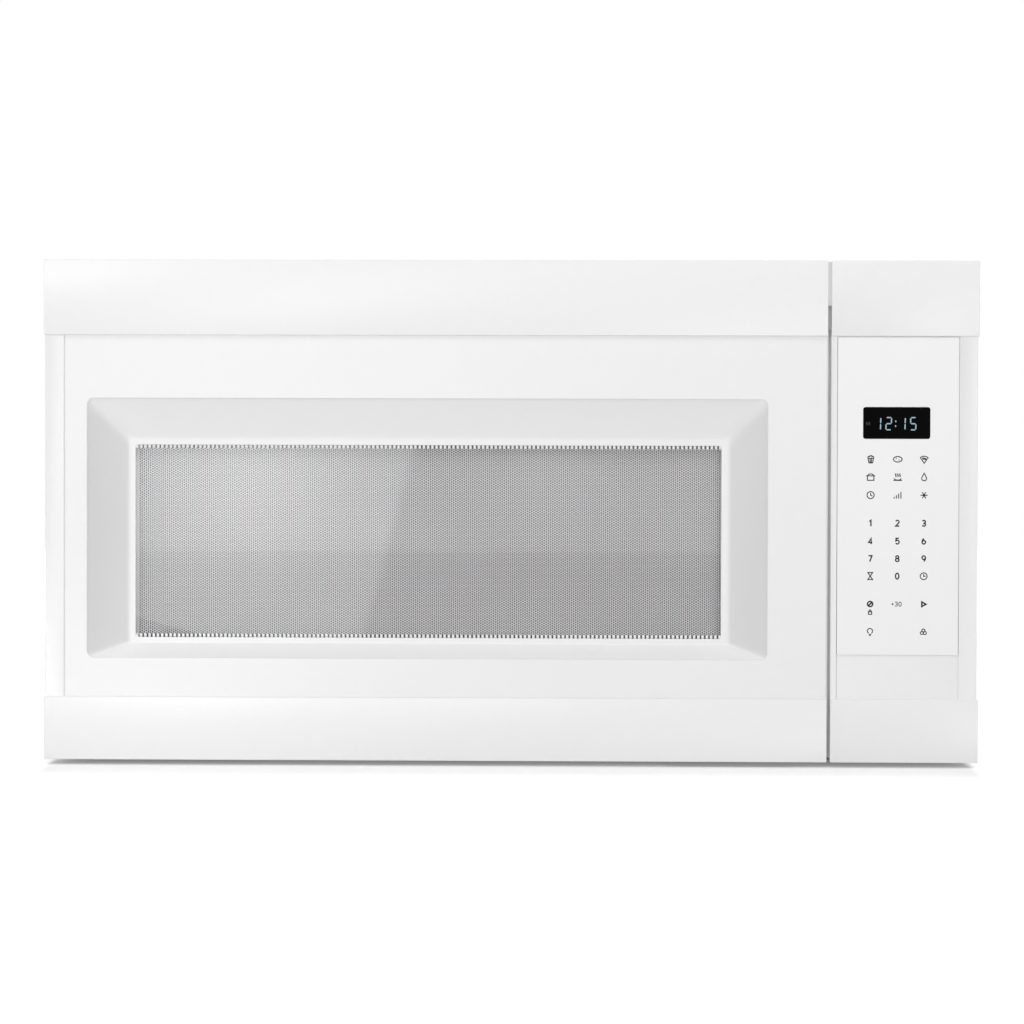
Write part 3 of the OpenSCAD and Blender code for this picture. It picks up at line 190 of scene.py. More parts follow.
floor_mesh = bpy.data.meshes.new("floor")
floor_corners = np.array([[-1, -1, 0], [1, -1, 0], [1, 1, 0], [-1, 1, 0]]) * FLOOR_HALF + (0, 0, FLOOR_Z)
floor_mesh.from_pydata(floor_corners.tolist(), [], [(0, 1, 2, 3)])
floor = bpy.data.objects.new("floor", floor_mesh)
bpy.context.scene.collection.objects.link(floor)
print("floor", 2 * FLOOR_HALF, "m wide")

# %% [markdown]
# The lift needs the distance from the object's footprint. The place is folded to one quarter
# by its absolute value, the footprint's half sides are taken off, and what is left above zero is measured.
# The share that lies at the sides counts many times, so that the lift starts at once there and the shadow
# ends at the object's corners.
# It grows between the distances FOOT and BESIDE, and once more between the two of FAR.

# %% Paper
SIDE_INSET = 0.010
FRONT_INSET = 0.002
SIDE_SHARE = 12.0
FOOT = 0.042
BESIDE = 0.12
FAR = (0.4, 1.6)
LIFT_FOOT = 0.2
LIFT_BESIDE = 0.55
LIFT_FAR = 0.85

paper, paper_tree, paper_shader, paper_place = start_material("matt white paper", Roughness=0.9)
paper_shader.inputs["Base Color"].default_value = linear("#F0F0F0")
floor_middle = (0, (cad_high[1] + cad_low[1]) / 2, 0)
footprint = (cad_high[0] - SIDE_INSET, (cad_high[1] - cad_low[1]) / 2 - FRONT_INSET, 1.0)
outside = paper_place
for operation, operand in (("SUBTRACT", floor_middle), ("ABSOLUTE", (0, 0, 0)), ("SUBTRACT", footprint),
                           ("MAXIMUM", (0, 0, 0)), ("MULTIPLY", (SIDE_SHARE, 1, 1))):
    moved = add(paper_tree, "ShaderNodeVectorMath", {0: outside, 1: operand}, operation=operation)
    outside = moved.outputs[0]
away = add(paper_tree, "ShaderNodeVectorMath", {0: outside}, operation="LENGTH").outputs["Value"]
beside = add(paper_tree, "ShaderNodeMapRange", {0: away, 1: FOOT, 2: BESIDE, 3: LIFT_FOOT, 4: LIFT_BESIDE})
reach = add(paper_tree, "ShaderNodeVectorMath", {0: paper_place, 1: floor_middle}, operation="DISTANCE")
distant = add(paper_tree, "ShaderNodeMapRange", {
    0: reach.outputs["Value"], 1: FAR[0] + footprint[0], 2: FAR[1] + footprint[0], 4: LIFT_FAR})
lift = add(paper_tree, "ShaderNodeMath", {0: beside.outputs[0], 1: distant.outputs[0]}, operation="MAXIMUM")
paper_ray = add(paper_tree, "ShaderNodeLightPath").outputs["Is Camera Ray"]
lift = add(paper_tree, "ShaderNodeMath", {0: paper_ray, 1: lift.outputs[0]}, operation="MULTIPLY")
# The lift is painted light, seen by the camera only.
lifted = add(paper_tree, "ShaderNodeEmission", {"Color": (1, 1, 1, 1), "Strength": lift.outputs[0]})
total = add(paper_tree, "ShaderNodeAddShader", {0: paper_shader.outputs["BSDF"], 1: lifted.outputs[0]})
paper_tree.links.new(total.outputs[0], paper_tree.nodes["Material Output"].inputs["Surface"])
floor_mesh.materials.append(paper)
print("paper lifted by", LIFT_FOOT, "to", LIFT_FAR)

# %% [markdown]
# One softbox, the key, stands left of the camera and leans outwards at its foot.
# The window glass mirrors it on the left, and its right edge is the slanted border seen in the glass,
# so its place is worked out from two points of that edge.
# The others stand where the window can't mirror them: a large one above the object,
# one at the right, and two low ones far out that light the lower band.
# A small one with a grid in front stands by the foot on the left. The grid keeps its light in a narrow cone,
# which whitens the left end of the lower band. Places and sizes are in metres, powers in watts.

# %% Softboxes
def softbox(name, centre, turn, size, power):
    """A rectangular area light of size metres at centre, turned by degrees, facing along its own -Z."""
    data = bpy.data.lights.new(name, "AREA")
    data.shape = "RECTANGLE"
    data.size = size[0]
    data.size_y = size[1]
    data.energy = power
    lamp = bpy.data.objects.new(name, data)
    lamp.location = centre
    lamp.rotation_euler = [math.radians(angle) for angle in turn]
    lamp.visible_transmission = False
    bpy.context.scene.collection.objects.link(lamp)
    return lamp


KEY_EDGE_HIGH = (-0.142, 0.273)
KEY_EDGE_LOW = (-0.211, 0.0165)
KEY_SIZE = (0.5, 0.62)
KEY_Y = -1.5
KEY_MID_Z = 0.26
KEY_POWER = 1.9
lean = math.atan2(KEY_EDGE_HIGH[0] - KEY_EDGE_LOW[0], KEY_EDGE_HIGH[1] - KEY_EDGE_LOW[1])
key_edge_x = KEY_EDGE_LOW[0] + math.tan(lean) * (KEY_MID_Z - KEY_EDGE_LOW[1])
key_x = key_edge_x - KEY_SIZE[0] / 2 * math.cos(lean)
key_z = KEY_MID_Z + KEY_SIZE[0] / 2 * math.sin(lean)
key = softbox("key softbox", (key_x, KEY_Y, key_z), (90, math.degrees(lean), 0), KEY_SIZE, KEY_POWER)
print("key softbox leans", round(math.degrees(lean), 1), "degrees")

SOFTBOXES = {
    "top softbox": ((0.1, -1.3, 1.9), (35, 0, 0), (1.6, 0.9), 10.3),
    "right softbox": ((1.4, -2.2, 0.9), (76, 0, 34), (0.9, 0.9), 2.4),
    "low left softbox": ((-1.7, -2.2, 0.35), (90, 0, -38), (0.7, 0.6), 10.0),
    "low right softbox": ((1.3, -2.2, 0.35), (90, 0, 32), (0.7, 0.6), 4.2),
    "foot softbox": ((-0.62, -0.85, 0.03), (90, 0, -25), (0.3, 0.05), 0.015),
}
FOOT_CONE = 26
lamps = {name: softbox(name, *settings) for name, settings in SOFTBOXES.items()}
lamps["foot softbox"].data.spread = math.radians(FOOT_CONE)
print("softboxes", 1 + len(lamps))

# %% [markdown]
# The cloth of a real softbox is brightest in front of its bulb and fades outwards,
# which is the pale cloud in the left half of the window glass.
# Parametric gives a place on the lamp from 0 to 1 both ways, and a smooth ramp of the distance
# to the bulb fades it. A second, narrow ramp softens the border on the window's side.

# %% Bulb behind the key softbox
BULB = (-0.388, 0.256)
BULB_FADE = 0.27
GLOW_BULB = 2.05
GLOW_CLOTH = 0.8
BORDER = 0.035

key.data.use_nodes = True
cloth_tree = key.data.node_tree
cloth_tree.nodes.clear()
on_lamp = add(cloth_tree, "ShaderNodeNewGeometry").outputs["Parametric"]
bulb_along = (BULB[0] - key_x) * math.cos(lean) - (BULB[1] - key_z) * math.sin(lean)
bulb_up = (BULB[0] - key_x) * math.sin(lean) + (BULB[1] - key_z) * math.cos(lean)
bulb = (0.5 + bulb_along / KEY_SIZE[0], 0.5 + bulb_up / KEY_SIZE[1], 0)
print("bulb at", [round(share, 2) for share in bulb])
offset = add(cloth_tree, "ShaderNodeVectorMath", {0: on_lamp, 1: bulb}, operation="SUBTRACT").outputs[0]
offset = add(cloth_tree, "ShaderNodeVectorMath", {0: offset, 1: (*KEY_SIZE, 0)}, operation="MULTIPLY")
far = add(cloth_tree, "ShaderNodeVectorMath", {0: offset.outputs[0]}, operation="LENGTH").outputs["Value"]
fade = add(cloth_tree, "ShaderNodeMapRange", {0: far, 2: BULB_FADE, 3: GLOW_BULB, 4: GLOW_CLOTH},
           interpolation_type="SMOOTHSTEP")
along_lamp = add(cloth_tree, "ShaderNodeSeparateXYZ", {"Vector": on_lamp}).outputs[0]
border = add(cloth_tree, "ShaderNodeMapRange", {0: along_lamp, 1: 1.0, 2: 1 - BORDER},
             interpolation_type="SMOOTHSTEP")
brightness = add(cloth_tree, "ShaderNodeMath", {0: fade.outputs[0], 1: border.outputs[0]},
                 operation="MULTIPLY")
cloth = add(cloth_tree, "ShaderNodeEmission", {"Strength": brightness.outputs[0]})
add(cloth_tree, "ShaderNodeOutputLight", {"Surface": cloth.outputs[0]})

# %% [markdown]
# Most of the front is ABS, a hard white plastic that is injection-moulded in a polished steel mould.
# The mould leaves a soft gloss, a very fine waviness and a faint unevenness in the white.
# All moulded plastics here share this build and differ in colour, gloss and grain.

# %% Moulded plastics
GLOSS_SHIFT = 0.03


def moulded(name, colour, gloss=0.32, wave=9.0, grain=0.5, relief=0.006, shift=0.02, ior=1.53):
    """Plastic: colour varied by shift over wave mm, with a grain of that size and relief in mm."""
    material, tree, shader, place = start_material(name, IOR=ior)
    cloud = add(tree, "ShaderNodeTexNoise", {"Vector": place, "Scale": per_mm(wave), "Detail": 3.0})
    value = add(tree, "ShaderNodeMapRange", {0: cloud.outputs["Fac"], 3: 1 - shift, 4: 1.0})
    tint = add(tree, "ShaderNodeHueSaturation", {"Color": linear(colour), "Value": value.outputs[0]})
    polish = add(tree, "ShaderNodeMapRange", {
        0: cloud.outputs["Fac"], 3: gloss - GLOSS_SHIFT, 4: gloss + GLOSS_SHIFT})
    fine = add(tree, "ShaderNodeTexNoise", {"Vector": place, "Scale": per_mm(grain), "Detail": 2.0})
    bump = add(tree, "ShaderNodeBump", {
        "Height": fine.outputs["Fac"], "Distance": relief * MM, "Strength": 0.6})
    tree.links.new(tint.outputs["Color"], shader.inputs["Base Color"])
    tree.links.new(polish.outputs[0], shader.inputs["Roughness"])
    tree.links.new(bump.outputs["Normal"], shader.inputs["Normal"])
    return material


white_abs = moulded("polished white ABS", "#EEEEEE")
black_pbt = moulded("moulded black PBT", "#1E1F21", gloss=0.5, shift=0.15)
grey_pps = moulded("moulded grey choke cover", "#8A8D90", gloss=0.5, shift=0.08)
nylon = moulded("natural nylon", "#E8E6DC", gloss=0.4)
display_block = moulded("moulded display block", "#3A3B3D", gloss=0.5)
component_block = moulded("potted electronic parts", "#39516B", gloss=0.4, wave=6, shift=0.25)
rubber = moulded("black rubber", "#1A1A1A", gloss=0.75, grain=0.8, shift=0.2, ior=1.52)

# %% [markdown]
# The door panel is the same white ABS with a satin face. The side slopes of its recess get a rougher, matt
# finish, and their colour is painted a shade greyer than the face: painted shade for the shade they lie in.
# The mesh carries an attribute called flank that mixes the two: 1 on the side slopes,
# fading to 0 across the mitres and at the window's rim.
# A matt grain is about a tenth of a millimetre wide; the speckle in the painted grey is drawn eight times as
# coarse so that it shows.

# %% Panel plastic
SLOPE_SPECKLE = 0.8
SLOPE_ROUGH = 0.6

panel_abs = moulded("satin white ABS", "#EEEEEE", gloss=0.38)
panel_tree = panel_abs.node_tree
panel_shader = panel_tree.nodes["Principled BSDF"]
face_colour = panel_shader.inputs["Base Color"].links[0].from_socket
face_polish = panel_shader.inputs["Roughness"].links[0].from_socket
slope_shade = add(panel_tree, "ShaderNodeAttribute", attribute_name="slope_shade").outputs["Fac"]
panel_place = panel_tree.nodes["Texture Coordinate"].outputs["Object"]
slope_speckle = add(panel_tree, "ShaderNodeTexNoise", {"Vector": panel_place, "Scale": per_mm(SLOPE_SPECKLE), "Detail": 1.0})
# These two greys are painted shade for the side slopes; the noise only speckles them.
grain = add(panel_tree, "ShaderNodeMix", {
    0: slope_speckle.outputs["Fac"], 6: linear("#D0D0D0"), 7: linear("#D8D8D8")}, data_type="RGBA")
# Where flank is 1 the slope takes the painted shade instead of the face's colour.
panel_tint = add(panel_tree, "ShaderNodeMix", {0: slope_shade, 6: face_colour, 7: grain.outputs[2]},
                 data_type="RGBA")
panel_polish = add(panel_tree, "ShaderNodeMix", {0: slope_shade, 2: face_polish, 3: SLOPE_ROUGH})
panel_tree.links.new(panel_tint.outputs[2], panel_shader.inputs["Base Color"])
panel_tree.links.new(panel_polish.outputs[0], panel_shader.inputs["Roughness"])
print("panel plastic has", len(panel_tree.nodes), "nodes")

# %% [markdown]
# The case is steel sheet with a baked white powder coat, and the oven a light grey one.
# The powder melts into a skin with the shallow dimples called orange peel.

# %% Painted steel
TONE_WIDE = 60
PAINT_SHIFT = 0.05


def powder_coated(name, colour, peel=1.6, relief=0.02, gloss=0.35, shift=0.02):
    """Paint on steel: dimples peel mm wide and relief mm deep, with slow changes in tone."""
    material, tree, shader, place = start_material(name, IOR=1.5)
    dimple = add(tree, "ShaderNodeTexNoise", {"Vector": place, "Scale": per_mm(peel), "Detail": 1.5})
    slow = add(tree, "ShaderNodeTexNoise", {"Vector": place, "Scale": per_mm(TONE_WIDE), "Detail": 2.0})
    value = add(tree, "ShaderNodeMapRange", {0: slow.outputs["Fac"], 3: 1 - shift, 4: 1.0})
    tint = add(tree, "ShaderNodeHueSaturation", {"Color": linear(colour), "Value": value.outputs[0]})
    polish = add(tree, "ShaderNodeMapRange", {
        0: slow.outputs["Fac"], 3: gloss - PAINT_SHIFT, 4: gloss + PAINT_SHIFT})
    bump = add(tree, "ShaderNodeBump", {
        "Height": dimple.outputs["Fac"], "Distance": relief * MM, "Strength": 0.5})
    tree.links.new(tint.outputs["Color"], shader.inputs["Base Color"])
    tree.links.new(polish.outputs[0], shader.inputs["Roughness"])
    tree.links.new(bump.outputs["Normal"], shader.inputs["Normal"])
    return material


case_paint = powder_coated("white powder-coated steel", "#ECECEA")
oven_paint = powder_coated("grey oven enamel", "#8E9193", peel=2.2, relief=0.03, gloss=0.3, shift=0.05)
door_pan_paint = powder_coated("light grey enamelled door pan", "#C9CBCB", peel=2.0, shift=0.04)
black_steel = powder_coated("black powder-coated steel", "#222325", gloss=0.45, shift=0.15)

# %% [markdown]
# Panels that nobody sees are hot-dip galvanised steel, whose zinc crystals show as pale and dark flakes.
# Each flake is a cell of a Voronoi pattern, about 5 mm wide, with its own grey and its own gloss.

# %% Galvanised steel
ZINC_ROUGH = (0.38, 0.55)


def galvanised(name, low="#9DA1A3", high="#B7BBBC", flake=5.0):
    """Zinc coat: each crystal takes a grey between low and high and a roughness from its cell's colour."""
    material, tree, shader, place = start_material(name, Metallic=1.0)
    cells = add(tree, "ShaderNodeTexVoronoi", {"Vector": place, "Scale": per_mm(flake), "Randomness": 1.0})
    cell = add(tree, "ShaderNodeSeparateColor", {"Color": cells.outputs["Color"]})
    tint = add(tree, "ShaderNodeMix", {0: cell.outputs[0], 6: linear(low), 7: linear(high)}, data_type="RGBA")
    polish = add(tree, "ShaderNodeMapRange", {0: cell.outputs[1], 3: ZINC_ROUGH[0], 4: ZINC_ROUGH[1]})
    tree.links.new(tint.outputs[2], shader.inputs["Base Color"])
    tree.links.new(polish.outputs[0], shader.inputs["Roughness"])
    return material


zinc_steel = galvanised("hot-dip galvanised steel")

# %% [markdown]
# Springs, motor shells and the tray's drive are bright metals that were rolled or drawn.
# Rolling leaves fine lines along one direction, drawn here as noise that is stretched along X.

# %% Rolled metals
STREAK_ROUGH = (-0.06, 0.08)


def rolled(name, low, high, rough=0.32, line=0.6, along=14.0):
    """Metal with streaks line mm wide and along times as long, which change its grey and its roughness."""
    material, tree, shader, place = start_material(name, Metallic=1.0)
    stretch = add(tree, "ShaderNodeMapping", {"Vector": place, "Scale": (1 / along, 1, 1)})
    streak = add(tree, "ShaderNodeTexNoise", {
        "Vector": stretch.outputs[0], "Scale": per_mm(line), "Detail": 3.0}).outputs["Fac"]
    tint = add(tree, "ShaderNodeMix", {0: streak, 6: linear(low), 7: linear(high)}, data_type="RGBA")
    polish = add(tree, "ShaderNodeMapRange", {
        0: streak, 3: rough + STREAK_ROUGH[0], 4: rough + STREAK_ROUGH[1]})
    tree.links.new(tint.outputs[2], shader.inputs["Base Color"])
    tree.links.new(polish.outputs[0], shader.inputs["Roughness"])
    return material


spring_steel = rolled("drawn spring steel", "#A5A8AA", "#C8CBCC", rough=0.25, line=0.3)
filter_aluminium = rolled("expanded aluminium mesh", "#A9ABAD", "#D0D2D3", rough=0.35, line=0.8, along=4.0)
motor_steel = rolled("plated motor shell", "#9A9DA0", "#BFC2C4", rough=0.3)
capacitor_can = rolled("drawn aluminium can", "#B4B7B9", "#D2D4D5", rough=0.28)
laminations = rolled("stacked silicon steel", "#4A4C50", "#7C7F84", rough=0.5, line=0.5, along=60.0)

# %% [markdown]
# The screen in the door is steel sheet, punched with fine holes that keep microwaves in and let light out.
# The holes are on a triangular lattice 2 mm apart with one line of holes upright,
# so columns are 2 mm times the sine of 60 degrees apart and every other column is shifted by half a step.
# The enamelled sheet is white; the holes are left clear, so the dark oven shows through them.
# Above and below the field of holes the sheet is open up to its frame, dark behind the comb on the glass.
# The table HOLE_SUM finds the distance to the nearest hole, one node a step. Each step names its result,
# its operation and what it works on, an earlier result or a number.

# %% Perforated screen
HOLE_PITCH = 2.0
HOLE_RADIUS = 0.73
HOLE_SOFT = 0.08
SCREEN_LEFT = -237.8
SCREEN_RIGHT = 241.0
SCREEN_TALL = 76.2
COLUMN_STEP = HOLE_PITCH * math.sin(math.pi / 3)
screen_low, screen_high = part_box("door_screen")
window_mid = [(screen_low[i] + screen_high[i]) / 2 / MM for i in (0, 2)]
HOLE_SUM = (
    ("right of middle", "SUBTRACT", "place x", window_mid[0] * MM),
    ("x", "DIVIDE", "right of middle", MM),
    ("above middle", "SUBTRACT", "place z", window_mid[1] * MM),
    ("z", "DIVIDE", "above middle", MM),
    ("columns", "DIVIDE", "x", COLUMN_STEP),
    ("column", "ROUND", "columns"),
    ("odd", "PINGPONG", "column", 1.0),
    ("column x", "MULTIPLY", "column", COLUMN_STEP),
    ("across", "SUBTRACT", "x", "column x"),
    ("raised", "MULTIPLY_ADD", "odd", -HOLE_PITCH / 2, "z"),
    ("rows", "DIVIDE", "raised", HOLE_PITCH),
    ("row", "ROUND", "rows"),
    ("row z", "MULTIPLY", "row", HOLE_PITCH),
    ("along", "SUBTRACT", "raised", "row z"),
    ("across squared", "MULTIPLY", "across", "across"),
    ("along squared", "MULTIPLY", "along", "along"),
    ("both squared", "ADD", "across squared", "along squared"),
    ("reach", "SQRT", "both squared"),
    ("left of holes", "LESS_THAN", "x", SCREEN_LEFT),
    ("right of holes", "GREATER_THAN", "x", SCREEN_RIGHT),
    ("beside holes", "MAXIMUM", "left of holes", "right of holes"),
    ("height", "ABSOLUTE", "z"),
    ("before slot", "LESS_THAN", "height", SCREEN_TALL),
)


def punched_enamel(name, colour):
    """White enamel with holes: distance to the nearest lattice point, against the hole's radius."""
    material, tree, shader, place = start_material(name, IOR=1.5, Roughness=0.35)
    shader.inputs["Base Color"].default_value = linear(colour)
    spot = add(tree, "ShaderNodeSeparateXYZ", {"Vector": place})
    known = {"place x": spot.outputs[0], "place z": spot.outputs[2]}
    for result, operation, *operands in HOLE_SUM:
        sockets = {slot: known.get(operand, operand) for slot, operand in enumerate(operands)}
        known[result] = add(tree, "ShaderNodeMath", sockets, operation=operation).outputs[0]
    solid = add(tree, "ShaderNodeMapRange", {
        0: known["reach"], 1: HOLE_RADIUS - HOLE_SOFT, 2: HOLE_RADIUS + HOLE_SOFT}).outputs[0]
    punched = add(tree, "ShaderNodeMath", {0: solid, 1: known["before slot"]}, operation="MULTIPLY")
    cover = add(tree, "ShaderNodeMath", {0: punched.outputs[0], 1: known["beside holes"]},
                operation="MAXIMUM")
    tree.links.new(cover.outputs[0], shader.inputs["Alpha"])
    return material


screen_enamel = punched_enamel("punched white enamelled steel", "#F4F4F6")
hole_field = (SCREEN_RIGHT - SCREEN_LEFT) * 2 * SCREEN_TALL
print("holes about", int(hole_field / (HOLE_PITCH * COLUMN_STEP)))

# %% [markdown]
# The window and the tray are clear soda-lime glass. Wiping leaves its polish a trace duller in patches
# a few centimetres wide. Rays from the lamps pass straight through by Light Path,
# because bent light would leave the screen unlit.

# %% Glass
WIPE_WIDE = 40
WIPE_ROUGH = 0.02


def clear_glass(name, colour, rough=0.0, ior=1.52, pattern=0.0, relief=0.0):
    """Glass that bends and mirrors what is seen and lets lamp light through with the glass's own tint."""
    material, tree, shader, place = start_material(name, IOR=ior)
    shader.inputs["Base Color"].default_value = linear(colour)
    shader.inputs["Transmission Weight"].default_value = 1.0
    wiped = add(tree, "ShaderNodeTexNoise", {"Vector": place, "Scale": per_mm(WIPE_WIDE), "Detail": 2.0})
    polish = add(tree, "ShaderNodeMapRange", {0: wiped.outputs["Fac"], 3: rough, 4: rough + WIPE_ROUGH})
    tree.links.new(polish.outputs[0], shader.inputs["Roughness"])
    if pattern:
        prism = add(tree, "ShaderNodeTexVoronoi", {"Vector": place, "Scale": per_mm(pattern)})
        bump = add(tree, "ShaderNodeBump", {"Height": prism.outputs["Distance"], "Distance": relief * MM})
        tree.links.new(bump.outputs["Normal"], shader.inputs["Normal"])
    path = add(tree, "ShaderNodeLightPath")
    through = add(tree, "ShaderNodeBsdfTransparent", {"Color": linear(colour)})
    choice = add(tree, "ShaderNodeMixShader", {
        0: path.outputs["Is Shadow Ray"], 1: shader.outputs["BSDF"], 2: through.outputs[0]})
    tree.links.new(choice.outputs[0], tree.nodes["Material Output"].inputs["Surface"])
    return material


window_glass = clear_glass("tempered float glass", "#FBFBFB")
inner_film = clear_glass("clear inner window", "#F4F4F4", rough=0.02)
tray_glass = clear_glass("pressed tray glass", "#EAF4F0", rough=0.03, ior=1.51)
lens_glass = clear_glass("prismatic lamp lens", "#F6F8F8", rough=0.2, pattern=3.0, relief=0.3)
lens_shader = lens_glass.node_tree.nodes["Principled BSDF"]
lens_shader.inputs["Transmission Weight"].default_value = 0.5

# %% [markdown]
# The key film is printed polyester, and the display's window is a smoked acrylic with a high gloss.
# Its digits glow a pale blue-green, as a fluorescent display does.

# %% Control column
key_film = moulded("printed polyester film", "#F2F2F2", gloss=0.42, wave=30, grain=0.3, relief=0.002,
                   shift=0.01)
key_contacts = moulded("silver-printed contact sheet", "#C9CCD0", gloss=0.35, shift=0.05)
smoked_acrylic = moulded("smoked acrylic", "#030304", gloss=0.2, relief=0.0005, shift=0.2, ior=1.49)
smoked_shader = smoked_acrylic.node_tree.nodes["Principled BSDF"]
smoked_shader.inputs["Specular IOR Level"].default_value = 0.04
print_ink = moulded("dark grey screen-printed ink", "#101112", gloss=0.5, wave=3, shift=0.12)
SPECK = 1.5
SPECK_SHIFT = 0.05


def glowing(name, colour, strength):
    """A lit segment: dark, with a glow that wavers over SPECK mm, as its phosphor does."""
    material, tree, shader, place = start_material(name, Roughness=0.4)
    shader.inputs["Base Color"].default_value = linear("#10181A")
    speck = add(tree, "ShaderNodeTexNoise", {"Vector": place, "Scale": per_mm(SPECK), "Detail": 1.0})
    value = add(tree, "ShaderNodeMapRange", {
        0: speck.outputs["Fac"], 3: 1 - SPECK_SHIFT, 4: 1 + SPECK_SHIFT})
    tint = add(tree, "ShaderNodeHueSaturation", {"Color": linear(colour), "Value": value.outputs[0]})
    tree.links.new(tint.outputs["Color"], shader.inputs["Emission Color"])
    shader.inputs["Emission Strength"].default_value = strength
    return material


lit_segment = glowing("fluorescent segment", "#B4DCEA", 0.66)
# The unlit sign has a faint glow of its own, which is painted light.
faint_segment = glowing("unlit indicator", "#4A5558", 0.35)

# %% [markdown]
# The control board is glass-fibre laminate under green solder mask, with pale copper tracks showing through.
# The tracks are the joints of a brick pattern, in rows 5 mm high. The pattern lies in the plane of X and Y,
# so it is turned upright to lie on the board.

# %% Circuit board
TRACK_ROW = 5.0
TRACK_WIDE = 0.03

board_mask, board_tree, board_shader, board_place = start_material(
    "green solder mask", IOR=1.52, Roughness=0.3)
on_board = add(board_tree, "ShaderNodeMapping", {"Vector": board_place, "Rotation": (math.pi / 2, 0, 0)})
tracks = add(board_tree, "ShaderNodeTexBrick", {
    "Vector": on_board.outputs[0], "Color1": linear("#1E5A38"), "Color2": linear("#24653F"),
    "Mortar": linear("#3B8257"), "Scale": per_mm(4 * TRACK_ROW), "Mortar Size": TRACK_WIDE})
board_tree.links.new(tracks.outputs["Color"], board_shader.inputs["Base Color"])
print("track rows", TRACK_ROW, "mm high")

# %% [markdown]
# The odour filter is a bed of activated carbon: black grains 3 mm across with glints on their faces.
# The waveguide's cover is mica, a pale sheet mineral with silvery flakes.
# The wires are covered in coloured PVC, and the lamps are frosted halogen capsules.

# %% Carbon, mica, wire and lamps
def grains(name, dark, pale, size, relief, rough):
    """Grains or flakes: each Voronoi cell has its own tone, and its distance field gives it height."""
    material, tree, shader, place = start_material(name, Roughness=rough)
    cells = add(tree, "ShaderNodeTexVoronoi", {"Vector": place, "Scale": per_mm(size)})
    cell = add(tree, "ShaderNodeSeparateColor", {"Color": cells.outputs["Color"]})
    tint = add(tree, "ShaderNodeMix", {0: cell.outputs[0], 6: linear(dark), 7: linear(pale)},
               data_type="RGBA")
    bump = add(tree, "ShaderNodeBump", {"Height": cells.outputs["Distance"], "Distance": relief * MM},
               invert=True)
    tree.links.new(tint.outputs[2], shader.inputs["Base Color"])
    tree.links.new(bump.outputs["Normal"], shader.inputs["Normal"])
    return material


activated_carbon = grains("activated carbon", "#17181A", "#3C3E41", 3.0, 0.8, 0.6)
mica_sheet = grains("mica sheet", "#B9AE94", "#D8CFB8", 4.0, 0.02, 0.35)
wire_cover = moulded("PVC wire insulation", "#B9502F", gloss=0.4, wave=25, shift=0.3)
lamp_glass = moulded("frosted halogen capsule", "#E9E4D8", gloss=0.45, wave=5, grain=0.4, relief=0.01,
                     shift=0.08)

# %% [markdown]
# Every CAD node names its finish by a slot of the record. One table gives each slot its material,
# and each node gets the material of its slot. The door's pan shares the slot of the galvanised sheets,
# but the open door shows it enamelled, so it gets a finish of its own.

# %% Finishes of the record's slots
finishes = {
    "case_paint": case_paint, "zinc_steel": zinc_steel, "oven_paint": oven_paint,
    "door_moulding": white_abs, "panel_moulding": panel_abs, "fascia_moulding": white_abs,
    "film": key_film, "membrane": key_contacts, "display_black": smoked_acrylic,
    "display_block": display_block, "board": board_mask, "components": component_block,
    "window_glass": window_glass, "inner_film": inner_film, "screen_paint": screen_enamel,
    "choke_plastic": grey_pps, "white_plastic": white_abs, "nylon": nylon,
    "spring_steel": spring_steel, "filter_aluminium": filter_aluminium, "charcoal": activated_carbon,
    "lens_glass": lens_glass, "lamp": lamp_glass, "motor_steel": motor_steel,
    "laminations": laminations, "capacitor_can": capacitor_can, "mica": mica_sheet,
    "tray_glass": tray_glass, "wire_cover": wire_cover, "gland_rubber": rubber,
    "black_plastic": black_pbt, "black_steel": black_steel,
}
for part in frame["record"]["subparts"]:
    mesh = nodes[part["node"]].data
    mesh.materials.clear()
    mesh.materials.append(finishes[part["material_slot"]])
nodes["door_choke"].data.materials[0] = door_pan_paint
print(len(finishes), "finishes on", len(nodes), "nodes")

# %% [markdown]
# New pieces are grids of points. A loop is a rectangle with quarter-circle corners,
# and a moulding is a row of such loops carried from its rear edge over its face and into its recess.

# %% Helpers for shapes
CORNER_STEPS = 8


def round_loop(x0, x1, z0, z1, radius, y, between=()):
    """Closed loop in the plane y: each corner's arc is its centre plus radius times cosine and sine.

    between gives the shares of each straight side at which it gets a point.
    """
    turn = np.linspace(0, np.pi / 2, CORNER_STEPS + 1)
    centres = [(x1, z1), (x0, z1), (x0, z0), (x1, z0)]
    inward = [(-1, -1), (1, -1), (1, 1), (-1, 1)]
    arcs = []
    for quarter, (centre, step) in enumerate(zip(centres, inward)):
        angle = turn + quarter * np.pi / 2
        x = centre[0] + step[0] * radius + radius * np.cos(angle)
        z = centre[1] + step[1] * radius + radius * np.sin(angle)
        arcs.append(np.stack([x, np.full_like(x, y), z], axis=1))
    sides = []
    for here, ahead in zip(arcs, arcs[1:] + arcs[:1]):
        sides += [here, here[-1] + np.outer(between, ahead[0] - here[-1])]
    return np.concatenate(sides)


def new_piece(name, points, faces, body, material):
    """A mesh object from points in millimetres, smooth, riding on a body and with its material."""
    mesh = bpy.data.meshes.new(name)
    mesh.from_pydata((np.asarray(points) * MM).tolist(), [], np.asarray(faces).tolist())
    mesh.polygons.foreach_set("use_smooth", [True] * len(mesh.polygons))
    mesh.materials.append(material)
    piece = bpy.data.objects.new(name, mesh)
    bpy.context.scene.collection.objects.link(piece)
    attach(piece, body)
    print(name, len(mesh.polygons), "faces")
    return piece


def band_faces(rows, columns):
    """Quads between neighbouring loops, each loop closed on itself."""
    r, c = np.meshgrid(np.arange(rows - 1), np.arange(columns), indexing="ij")
    here = r * columns + c
    beside = r * columns + (c + 1) % columns
    return np.stack([here, beside, beside + columns, here + columns], axis=-1).reshape(-1, 4)


